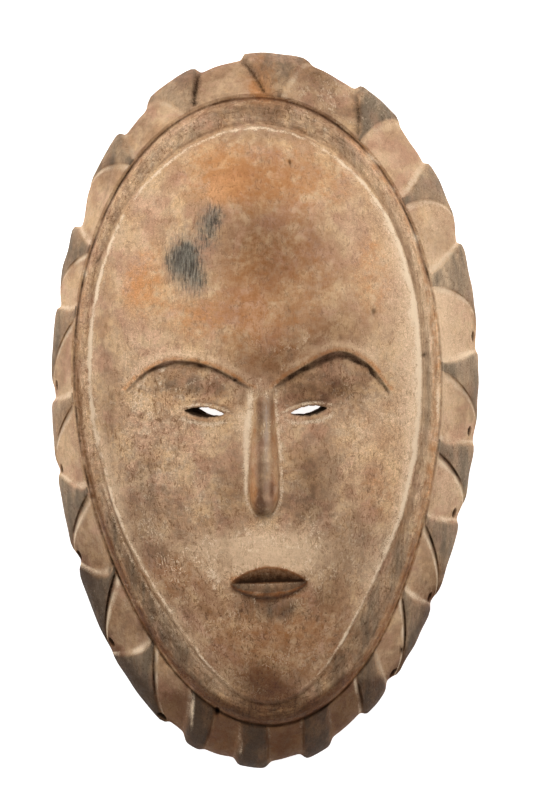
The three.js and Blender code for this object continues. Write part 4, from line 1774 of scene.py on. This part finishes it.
        # Painted shade at the edges of the eye slits, and a dark crease over the upper lid.
        for eye in carving.eyes:
            along, up = eye.local(x, y)
            brink = bell(np.maximum(np.abs(up) - eye.half(along), 0), 0.7)
            dirt += 0.6 * brink * (np.abs(along) < eye.half_length) * at.face
            dirt += 0.3 * eye.upper_crease(along, up) * at.face
        # Painted shade inside the pits.
        return dirt + 0.6 * sum(pit.inside(x, y) for pit in carving.pits)

    def groove_dirt(self, at: Places, patchy: Array) -> Array:
        """The dirt in the groove and in the crease round the face.

        Args:
            at: The places.
            patchy: How thick the dirt lies at each place.

        Returns:
            One amount per place.
        """
        x, y = at.x, at.y
        filled = 0.65 * bell(x, 28) * smooth(y, 150, 190)
        side = smooth(x, 30, 60) * smooth(y, 90, 50) * smooth(-y, 190, 160)
        filled += 0.4 * side
        dirt = (0.92 - filled) * bell(at.groove - self.carving.line(x, y), 0.75) * patchy
        dirt += 0.45 * bell(at.groove + 4.4, 2.6) * smooth(-y, 165, 190)
        dirt += 0.2 * bell(x - 12, 9) * smooth(-y, 198, 206)
        crack = 0.42 * bell(at.edge - 0.7, 0.5) * smooth(x, -20, -50)
        return dirt + crack * patchy * smooth(y, -20, -60)

    def feature_dirt_and_shade(self, at: Places) -> Array:
        """Painted shade in the lips' parting, under the upper lip, below the lower lip and under the
        nose's tip, and dark lines along the edges of the nose.

        Args:
            at: The places.

        Returns:
            One amount per place.
        """
        x, y, nose = at.x, at.y, self.carving.nose
        share, row = self.carving.mouth.row(x, y)
        lines = lerp(0.95, 0.1, smooth(row, 0.15, 1)) * self.lips(at, 0.53, 0.96)
        lines = lines * smooth(share, 0.02, 0.14) + 0.45 * self.lip_line(at, 0.06, 0.8)
        lines += 0.2 * self.lip_line(at, -1, 1) + 0.3 * self.lip_line(at, -0.52, 0.5)
        edge = bell((np.abs(nose.side(x, y)) - 0.97) * nose.half_width(y), 0.5)
        lines += 0.35 * edge * smooth(y, -70, -60) * smooth(y, -10, -40)
        # Painted shadow under the nose's tip.
        tip = np.hypot((x - nose.x + 0.5) / 6, (y - nose.tip - 1.6) / 2.6)
        return lines + 0.3 * smooth(tip, 1.5, 0.3)

    def rust(self, at: Places) -> Array:
        """Where the wood shows a warm ochre stain.

        Args:
            at: The places.

        Returns:
            One amount per place.
        """
        carving, x, y = self.carving, at.x, at.y
        outer = 0.16 + 0.2 * smooth(-y, 20, 120) + 0.15 * smooth(x, 40, 70)
        warm = outer * smooth(at.groove, -7, -3) * smooth(at.groove, 1.5, 0)
        warm = spread(self.ochres, at) + warm
        for brow in carving.brows:
            warm += 0.6 * bell(brow.distance(x, y) + 1.4, 1.3) * at.face
        lines = 0.15 * self.lip_line(at, 1, 1.5) + 1.4 * self.lip_line(at, -0.74, 0.4)
        lines += 0.6 * self.lips(at, 0.5, 1)
        for eye in carving.eyes:
            along, up = eye.local(x, y)
            lines += 0.2 * bell(up + 5 - 0.014 * along**2, 1.2) * (np.abs(along) < 14)
        across = x - carving.nose.x
        flank = 0.55 * smooth(across, -3, -6) * lerp(0.5, 1, smooth(y, -10, -55))
        flank += 0.35 * smooth(across, 3.5, 5.5)
        return (warm + lines * at.face + flank * self.polish(at) * at.face) * at.front

    def polish(self, at: Places) -> Array:
        """Where hands have polished the nose."""
        nose, y = self.carving.nose, at.y
        inside = smooth(np.abs(nose.side(at.x, y)), 1.04, 0.9)
        return inside * smooth(y, nose.tip, nose.tip + 4) * smooth(y, 12, 2)


@dataclass
class Graph:
    """Short ways to add the nodes that the finishes use."""

    tree: bpy.types.NodeTree

    def add(self, kind: str, output: str, inputs: dict[str | int, Value]) -> Socket:
        """Adds a node and feeds its inputs.

        Args:
            kind: The kind of node.
            output: The name of the wanted output.
            inputs: What each input is fed with.

        Returns:
            The output.
        """
        node = self.tree.nodes.new(kind)
        for name, value in inputs.items():
            self.feed(node.inputs[name], value)
        return node.outputs[output]

    def feed(self, socket: Socket, value: Value) -> None:
        """Links a socket to a value, or sets it where the value is plain.

        Args:
            socket: The socket.
            value: A socket, a number or a colour.
        """
        if isinstance(value, Socket):
            self.tree.links.new(value, socket)
        elif socket.type == "RGBA":
            socket.default_value = (*value, 1.0)
        else:
            socket.default_value = value

    def stretched(self, place: Socket, scale: tuple[float, float, float]) -> Socket:
        """Coordinates scaled by direction."""
        return self.add("ShaderNodeMapping", "Vector", {"Vector": place, "Scale": scale})

    def noise(
        self, place: Socket, scale: float, detail: float, rough: float, curl: float = 0.0
    ) -> Socket:
        """Soft noise of about 0.3 to 0.7, with scale bumps per metre and twisted by curl."""
        shape = {"Scale": scale, "Detail": detail, "Roughness": rough, "Distortion": curl}
        return self.add("ShaderNodeTexNoise", "Fac", {"Vector": place, **shape})

    def span(self, value: Socket, low: float, high: float) -> Socket:
        """A noise value spread over low to high."""
        reach = {"From Min": 0.3, "From Max": 0.7, "To Min": low, "To Max": high}
        return self.add("ShaderNodeMapRange", "Result", {"Value": value, **reach})

    def ramp(self, value: Socket, low: float, high: float, most: float = 1.0) -> Socket:
        """Smooth step of a value from 0 at low to most at high."""
        inputs = {"Value": value, "From Min": low, "From Max": high, "To Max": most}
        step = self.add("ShaderNodeMapRange", "Result", inputs)
        step.node.interpolation_type = "SMOOTHSTEP"
        return step

    def mark(self, name: str, output: str = "Fac") -> Socket:
        """A mark written on the mesh, as Fac for a single value or as Vector."""
        mark = self.add("ShaderNodeAttribute", output, {})
        mark.node.attribute_name = name
        return mark

    def maths(self, kind: str, *values: Value) -> Socket:
        """Values joined by an operation."""
        result = self.add("ShaderNodeMath", "Value", dict(enumerate(values)))
        result.node.operation = kind
        return result

    def times(self, a: Value, b: Value) -> Socket:
        """Product of two values."""
        return self.maths("MULTIPLY", a, b)

    def sum(self, a: Value, b: Value) -> Socket:
        """Sum of two values."""
        return self.maths("ADD", a, b)

    def near(self, value: Socket, middle: float) -> Socket:
        """1 where a noise value is at a middle value, and 0 a little away from it."""
        return self.ramp(self.maths("ABSOLUTE", self.maths("SUBTRACT", value, middle)), 0.05, 0.015)

    def broken(self, mark: Socket, noise: Socket, rough: float) -> Socket:
        """A mark whose edge is broken up by noise.

        Args:
            mark: The mark, from 0 to about 1.
            noise: The noise, about 0.5 in the mean.
            rough: How strongly the noise breaks the mark.

        Returns:
            A value from 0 to 1.
        """
        uneven = self.times(self.maths("SUBTRACT", noise, 0.5), NOISE_GAIN * rough)
        swing = self.times(uneven, self.ramp(mark, 0.0, 0.25))
        return self.add("ShaderNodeClamp", "Result", {"Value": self.sum(mark, swing)})

    def mix(self, share: Socket, a: Value, b: Value, most: float = 1.0) -> Socket:
        """Colour mixed from one to another.

        Args:
            share: How far it is mixed.
            a: The first colour.
            b: The other colour.
            most: How much of the other colour there is at the most.

        Returns:
            The mixed colour.
        """
        node = self.tree.nodes.new("ShaderNodeMix")
        node.data_type = "RGBA"
        self.feed(node.inputs["Factor"], share if most == 1.0 else self.times(share, most))
        self.feed(self.colour_input(node, "A"), a)
        self.feed(self.colour_input(node, "B"), b)
        return next(o for o in node.outputs if o.type == "RGBA")

    def colour_input(self, node: bpy.types.Node, name: str) -> Socket:
        """The colour socket of a mix node."""
        return next(s for s in node.inputs if s.name == name and s.type == "RGBA")

    def tinted(self, share: Socket, colour: Socket, tint: Colour, most: float = 1.0) -> Socket:
        """Colour multiplied by a tint, for a share that is scaled by most."""
        product = self.add("ShaderNodeVectorMath", "Vector", {0: colour, 1: tint})
        product.node.operation = "MULTIPLY"
        return self.mix(share, colour, product, most)

    def mix_value(self, share: Socket, a: Value, b: Value) -> Socket:
        """Value mixed from a to b."""
        return self.add("ShaderNodeMix", "Result", {"Factor": share, "A": a, "B": b})


@dataclass(frozen=True)
class Noises:
    """The noises that break up the wood's marks, from soft blots to fine scratches."""

    patchy: Socket
    hue: Socket
    blot: Socket
    mottle: Socket
    curl: Socket
    scrawl: Socket
    lined: Socket
    hair: Socket
    streak: Socket
    scratch: Socket
    rough: Socket
    hatched: Socket

    @classmethod
    def on(cls: type[Self], graph: Graph) -> Self:
        """Adds the noises to a graph.

        Args:
            graph: The graph.

        Returns:
            The noises.
        """
        place = graph.add("ShaderNodeTexCoord", "Object", {})
        fibres = graph.stretched(place, (1, 0.14, 0.6))
        mottle = graph.noise(place, 190, 5, 0.68)
        curl = graph.noise(place, 800, 3, 0.75, 1.6)
        scratch = graph.noise(graph.stretched(place, (1, 0.1, 0.6)), 900, 3, 0.7)
        return cls(
            patchy=graph.noise(place, 62, 4, 0.6),
            hue=graph.noise(place, 47, 3, 0.6, 0.6),
            blot=graph.noise(place, 105, 3, 0.6),
            mottle=mottle,
            curl=curl,
            scrawl=graph.noise(graph.stretched(place, (1, 0.5, 0.8)), 300, 2, 0.5, 1.4),
            lined=graph.noise(graph.mark("ring", "Vector"), 620, 4, 0.62),
            hair=graph.noise(fibres, 1150, 3, 0.65),
            streak=graph.noise(fibres, 150, 4, 0.62),
            scratch=scratch,
            rough=graph.maths("MULTIPLY_ADD", curl, 0.6, graph.times(mottle, 0.4)),
            hatched=graph.maths("MULTIPLY_ADD", scratch, 0.6, graph.times(curl, 0.4)),
        )


@dataclass(frozen=True)
class WoodFinish:
    """Old dry wood with a handled patina and with painted shade and highlights, as a procedural
    material.
    """

    pale: Colour = (0.695, 0.46, 0.268)
    middle: Colour = (0.54, 0.32, 0.178)
    deep: Colour = (0.27, 0.14, 0.07)
    ash: Colour = (0.42, 0.285, 0.185)
    dusty: Colour = (0.86, 0.605, 0.385)
    # Tint of the dark stains and of the painted shade.
    stain: Colour = (0.29, 0.212, 0.147)
    amber: Colour = (1.05, 1.0, 0.86)
    blush: Colour = (0.96, 0.87, 0.93)
    fleck: Colour = (1.42, 1.5, 1.6)
    fibre: Colour = (0.53, 0.45, 0.37)
    # Colour of kaolin and worn edges, and of the painted highlights on the steep walls and the lower
    # lip.
    cream: Colour = (0.93, 0.715, 0.495)
    ochre: Colour = (0.68, 0.275, 0.075)
    smudge: Colour = (0.6, 0.54, 0.49)
    fang: Colour = (0.19, 0.14, 0.09)
    veil: Colour = (0.29, 0.26, 0.2)
    scorch: Colour = (0.058, 0.06, 0.05)
    # Colour of dirt in the cuts, of painted shade and of charring.
    soot_and_shade: Colour = (0.028, 0.015, 0.009)
    # Colour of the painted highlight on the nose.
    painted_nose_highlight: Colour = (0.39, 0.3, 0.245)
    raw: Colour = (0.22, 0.135, 0.08)
    relief: float = 0.0006
    shine: float = 0.28

    def material(self) -> bpy.types.Material:
        """Builds the node tree.

        Returns:
            The material.
        """
        made = bpy.data.materials.new("old_wood")
        made.use_nodes = True
        made.node_tree.nodes.clear()
        graph = Graph(made.node_tree)
        noises = Noises.on(graph)
        grain, band = graph.mark("grain"), graph.mark("band")
        soot_and_shade = graph.broken(graph.mark("soot_and_shade"), noises.rough, 1.0)
        colour = self.stained(graph, noises, self.bare(graph, noises, grain))
        colour = self.flecked(graph, noises, grain, colour)
        colour = self.rubbed(graph, noises, band, colour)
        # Dirt in the cuts, and painted shade in the slits, holes and pits and under the carved
        # features.
        colour = graph.mix(soot_and_shade, colour, self.soot_and_shade, 0.92)
        raw = graph.mix(graph.ramp(noises.streak, 0.4, 0.65), self.raw, self.deep)
        worn = graph.mix_value(graph.mark("polish"), graph.span(noises.mottle, 0.62, 0.86), 0.36)
        inputs = {
            "Base Color": graph.mix(graph.mark("hidden"), colour, raw),
            "Specular IOR Level": graph.mix_value(soot_and_shade, self.shine, 0.0),
            "Roughness": worn,
            "Normal": self.bumps(graph, noises, band),
        }
        surface = graph.add("ShaderNodeBsdfPrincipled", "BSDF", inputs)
        output = made.node_tree.nodes.new("ShaderNodeOutputMaterial")
        graph.feed(output.inputs["Surface"], surface)
        return made

    def bare(self, graph: Graph, noises: Noises, grain: Socket) -> Socket:
        """The bare wood, its dust and its smudges.

        Args:
            graph: The graph.
            noises: The noises.
            grain: How strongly the fine flecks show.

        Returns:
            The colour.
        """
        colour = graph.mix(graph.ramp(noises.patchy, 0.40, 0.60), self.middle, self.pale)
        colour = graph.tinted(graph.ramp(noises.hue, 0.50, 0.62, 0.5), colour, self.amber)
        colour = graph.tinted(graph.ramp(noises.hue, 0.49, 0.38, 0.8), colour, self.blush)
        mottled = graph.times(graph.ramp(noises.mottle, 0.47, 0.62), grain)
        colour = graph.mix(mottled, colour, self.ash, 0.55)
        colour = graph.mix(graph.ramp(noises.streak, 0.52, 0.74, 0.45), colour, self.deep)
        pale = graph.broken(graph.mark("pale"), noises.rough, 0.8)
        colour = graph.mix(pale, colour, self.dusty, 0.8)
        blots = graph.ramp(noises.blot, 0.50, 0.60)
        smudged = graph.times(blots, graph.maths("SUBTRACT", grain, 0.45))
        return graph.tinted(smudged, colour, self.smudge)

    def stained(self, graph: Graph, noises: Noises, colour: Socket) -> Socket:
        """The wood with its rust, its dark fangs, its scorch marks, its dark stains and its painted
        shade.

        Args:
            graph: The graph.
            noises: The noises.
            colour: The colour of the bare wood.

        Returns:
            The colour.
        """
        rust = graph.broken(graph.mark("rust"), noises.mottle, 1.2)
        colour = graph.mix(rust, colour, self.ochre, 0.7)
        fang = graph.broken(graph.mark("fang"), noises.streak, 0.8)
        colour = graph.mix(fang, colour, self.fang, 0.9)
        mark = graph.mark("scorch")
        colour = graph.mix(graph.broken(mark, noises.mottle, 0.8), colour, self.veil, 0.7)
        scorch = graph.ramp(graph.broken(mark, noises.hatched, 1.7), 0.15, 1.05)
        colour = graph.mix(scorch, colour, self.scorch, 0.75)
        burnt = graph.ramp(mark, 0.15, 0.8)
        charred = graph.times(graph.ramp(noises.scratch, 0.52, 0.62), burnt)
        colour = graph.mix(charred, colour, self.soot_and_shade, 0.55)
        ashen = graph.times(graph.ramp(noises.scratch, 0.48, 0.38), burnt)
        colour = graph.mix(ashen, colour, self.veil, 0.6)
        # Dark stains, and painted shade at the lower edge, under the brows, under the nose's tip and
        # at the lips.
        dark = graph.broken(graph.mark("dark"), noises.rough, 0.8)
        return graph.tinted(dark, colour, self.stain)

    def flecked(self, graph: Graph, noises: Noises, grain: Socket, colour: Socket) -> Socket:
        """The wood with its fine fibres, flecks, pale crackle and cracks.

        Args:
            graph: The graph.
            noises: The noises.
            grain: How strongly the fine flecks show.
            colour: The colour of the stained wood.

        Returns:
            The colour.
        """
        clumps = graph.ramp(noises.mottle, 0.42, 0.58)
        hairs = graph.times(graph.ramp(noises.hair, 0.52, 0.66, 0.55), clumps)
        colour = graph.tinted(graph.times(hairs, grain), colour, self.fibre)
        low = graph.times(graph.ramp(noises.curl, 0.48, 0.36, 0.7), grain)
        colour = graph.tinted(low, colour, self.fibre)
        high = graph.times(graph.ramp(noises.curl, 0.52, 0.64), grain)
        colour = graph.tinted(high, colour, self.fleck)
        spots = graph.ramp(noises.mottle, 0.46, 0.56)
        spots = graph.times(spots, graph.ramp(noises.patchy, 0.46, 0.56))
        spots = graph.times(spots, graph.ramp(noises.curl, 0.40, 0.52))
        crackle = graph.times(graph.mark("crackle"), spots)
        line = graph.times(graph.near(noises.scrawl, 0.5), crackle)
        colour = graph.mix(line, colour, self.cream, 0.75)
        cracks = graph.times(graph.near(noises.scrawl, 0.6), graph.ramp(noises.mottle, 0.56, 0.46))
        return graph.tinted(graph.times(cracks, grain), colour, self.fibre)

    def rubbed(self, graph: Graph, noises: Noises, band: Socket, colour: Socket) -> Socket:
        """The wood with the lines along its band, its pale worn edges with painted highlights on the
        steep walls, and the painted highlight down the nose.

        Args:
            graph: The graph.
            noises: The noises.
            band: How far a place is on the band.
            colour: The colour of the flecked wood.

        Returns:
            The colour.
        """
        lower = graph.times(graph.ramp(noises.lined, 0.53, 0.66), band)
        colour = graph.tinted(lower, colour, self.fibre, 0.5)
        upper = graph.times(graph.ramp(noises.lined, 0.47, 0.35), band)
        colour = graph.tinted(upper, colour, self.fleck, 0.6)
        cream = graph.ramp(graph.broken(graph.mark("cream"), noises.rough, 1.9), 0.08, 1.0)
        colour = graph.mix(cream, colour, self.cream, 0.9)
        # Pale worn rims and kaolin strips, with painted highlight on the steep walls of the valleys.
        rim = graph.ramp(graph.broken(graph.mark("rim"), noises.rough, 0.8), 0.1, 1.0)
        colour = graph.mix(rim, colour, self.cream, 0.85)
        # The painted highlight down the ridge of the nose.
        painted_nose_highlight = graph.times(graph.mark("painted_nose_highlight"), graph.ramp(noises.hair, 0.36, 0.56))
        return graph.mix(painted_nose_highlight, colour, self.painted_nose_highlight, 0.7)

    def bumps(self, graph: Graph, noises: Noises, band: Socket) -> Socket:
        """The fine relief of the surface."""
        relief = graph.sum(graph.sum(noises.curl, noises.hair), graph.times(noises.mottle, 2.0))
        relief = graph.sum(relief, graph.times(graph.times(noises.lined, band), 2.0))
        inputs = {"Height": relief, "Strength": 1.0, "Distance": self.relief}
        return graph.add("ShaderNodeBump", "Normal", inputs)


@dataclass(frozen=True)
class Lamp:
    """One square soft light that points at the mask, in metres and watts."""

    name: str
    place: tuple[float, float, float]
    size: float
    power: float

    def build(self) -> None:
        """Adds the light to the scene."""
        data = bpy.data.lights.new(self.name, "AREA")
        data.shape = "SQUARE"
        data.size = self.size
        data.energy = self.power
        lamp = bpy.data.objects.new(self.name, data)
        lamp.location = self.place
        aim = -lamp.location.normalized()
        lamp.rotation_euler = aim.to_track_quat("-Z", "Y").to_euler()
        bpy.context.scene.collection.objects.link(lamp)


@dataclass(frozen=True)
class Studio:
    """A plain pale floor, soft light from the top of the head, and the camera over the mask."""

    camera_height: float = 8.0
    outline_height: float = 0.02
    floor_size: float = 12.0
    floor_drop: float = 0.0003
    floor_colour: Colour = (0.86, 0.86, 0.86)
    floor_glow: float = 0.9
    sensor: float = 36.0
    sight: float = 100.0
    surroundings: float = 0.25
    lamps: tuple[Lamp, ...] = (
        Lamp("over the head", (-0.1, 1.6, 2.1), 0.9, 38.0),
        Lamp("left of the mask", (-2.0, 0.4, 1.7), 1.2, 20.0),
        Lamp("right of the mask", (2.0, 0.4, 1.7), 1.2, 20.0),
    )

    def floor(self) -> None:
        """Makes the pale floor that the mask lies on."""
        bm = bmesh.new()
        bmesh.ops.create_grid(bm, x_segments=1, y_segments=1, size=self.floor_size / 2.0)
        bmesh.ops.translate(bm, verts=bm.verts, vec=(0.0, 0.0, -self.floor_drop))
        mesh = bpy.data.meshes.new("floor")
        bm.to_mesh(mesh)
        bm.free()
        plate = bpy.data.objects.new("floor", mesh)
        bpy.context.scene.collection.objects.link(plate)
        made = bpy.data.materials.new("pale_floor")
        made.use_nodes = True
        shader = made.node_tree.nodes["Principled BSDF"]
        shader.inputs["Base Color"].default_value = (*self.floor_colour, 1.0)
        shader.inputs["Roughness"].default_value = 0.9
        shader.inputs["Emission Color"].default_value = (1.0, 1.0, 1.0, 1.0)
        shader.inputs["Emission Strength"].default_value = self.floor_glow
        mesh.materials.append(made)

    def camera(self) -> None:
        """Sets the camera straight over the mask, framed as the photograph is."""
        data = bpy.data.cameras.new("camera")
        data.sensor_width = self.sensor
        tall = PHOTO_HEIGHT_PX * MM_PER_PX * MM
        data.lens = self.sensor * (self.camera_height - self.outline_height) / tall
        data.clip_end = self.sight
        eye = bpy.data.objects.new("camera", data)
        eye.location = (
            (PHOTO_WIDTH_PX / 2.0 - MASK_CENTRE_PX[0]) * MM_PER_PX * MM,
            (MASK_CENTRE_PX[1] - PHOTO_HEIGHT_PX / 2.0) * MM_PER_PX * MM,
            self.camera_height,
        )
        bpy.context.scene.collection.objects.link(eye)
        bpy.context.scene.camera = eye

    def build(self) -> None:
        """Makes the floor, the lights, the pale surroundings and the camera."""
        self.floor()
        for lamp in self.lamps:
            lamp.build()
        world = bpy.data.worlds.new("surroundings")
        world.use_nodes = True
        ground = world.node_tree.nodes["Background"]
        ground.inputs["Color"].default_value = (1.0, 1.0, 1.0, 1.0)
        ground.inputs["Strength"].default_value = self.surroundings
        bpy.context.scene.world = world
        bpy.context.scene.view_settings.view_transform = "Standard"
        self.camera()


def settle(piece: bpy.types.Object) -> None:
    """Centres the finished mesh over its outline, turns it into metres and smooths it.

    Args:
        piece: The mask's object, in millimetres.
    """
    mesh = piece.data
    co = coordinates(mesh)
    co[:, :2] -= (co[:, :2].min(axis=0) + co[:, :2].max(axis=0)) / 2.0
    co[:, 2] = np.maximum(co[:, 2], 0.0)
    mesh.vertices.foreach_set("co", (co * MM).ravel())
    mesh.update()
    mesh.shade_smooth()
    mesh.set_sharp_from_angle(angle=SHARP_ANGLE)


def main() -> None:
    """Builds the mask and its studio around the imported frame."""
    logging.basicConfig(level=logging.INFO, format="%(message)s")
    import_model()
    carving = Carving()
    piece = MaskMesh(carving, Collar(carving.form)).build()
    Patina(carving).write(piece)
    settle(piece)
    piece.data.materials.append(WoodFinish().material())
    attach(piece, "root")
    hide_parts("mask")
    triangles = sum(len(face.vertices) - 2 for face in piece.data.polygons)
    log.info("%s: %d triangles", piece.name, triangles)
    Studio().build()


if __name__ == "__main__":
    main()
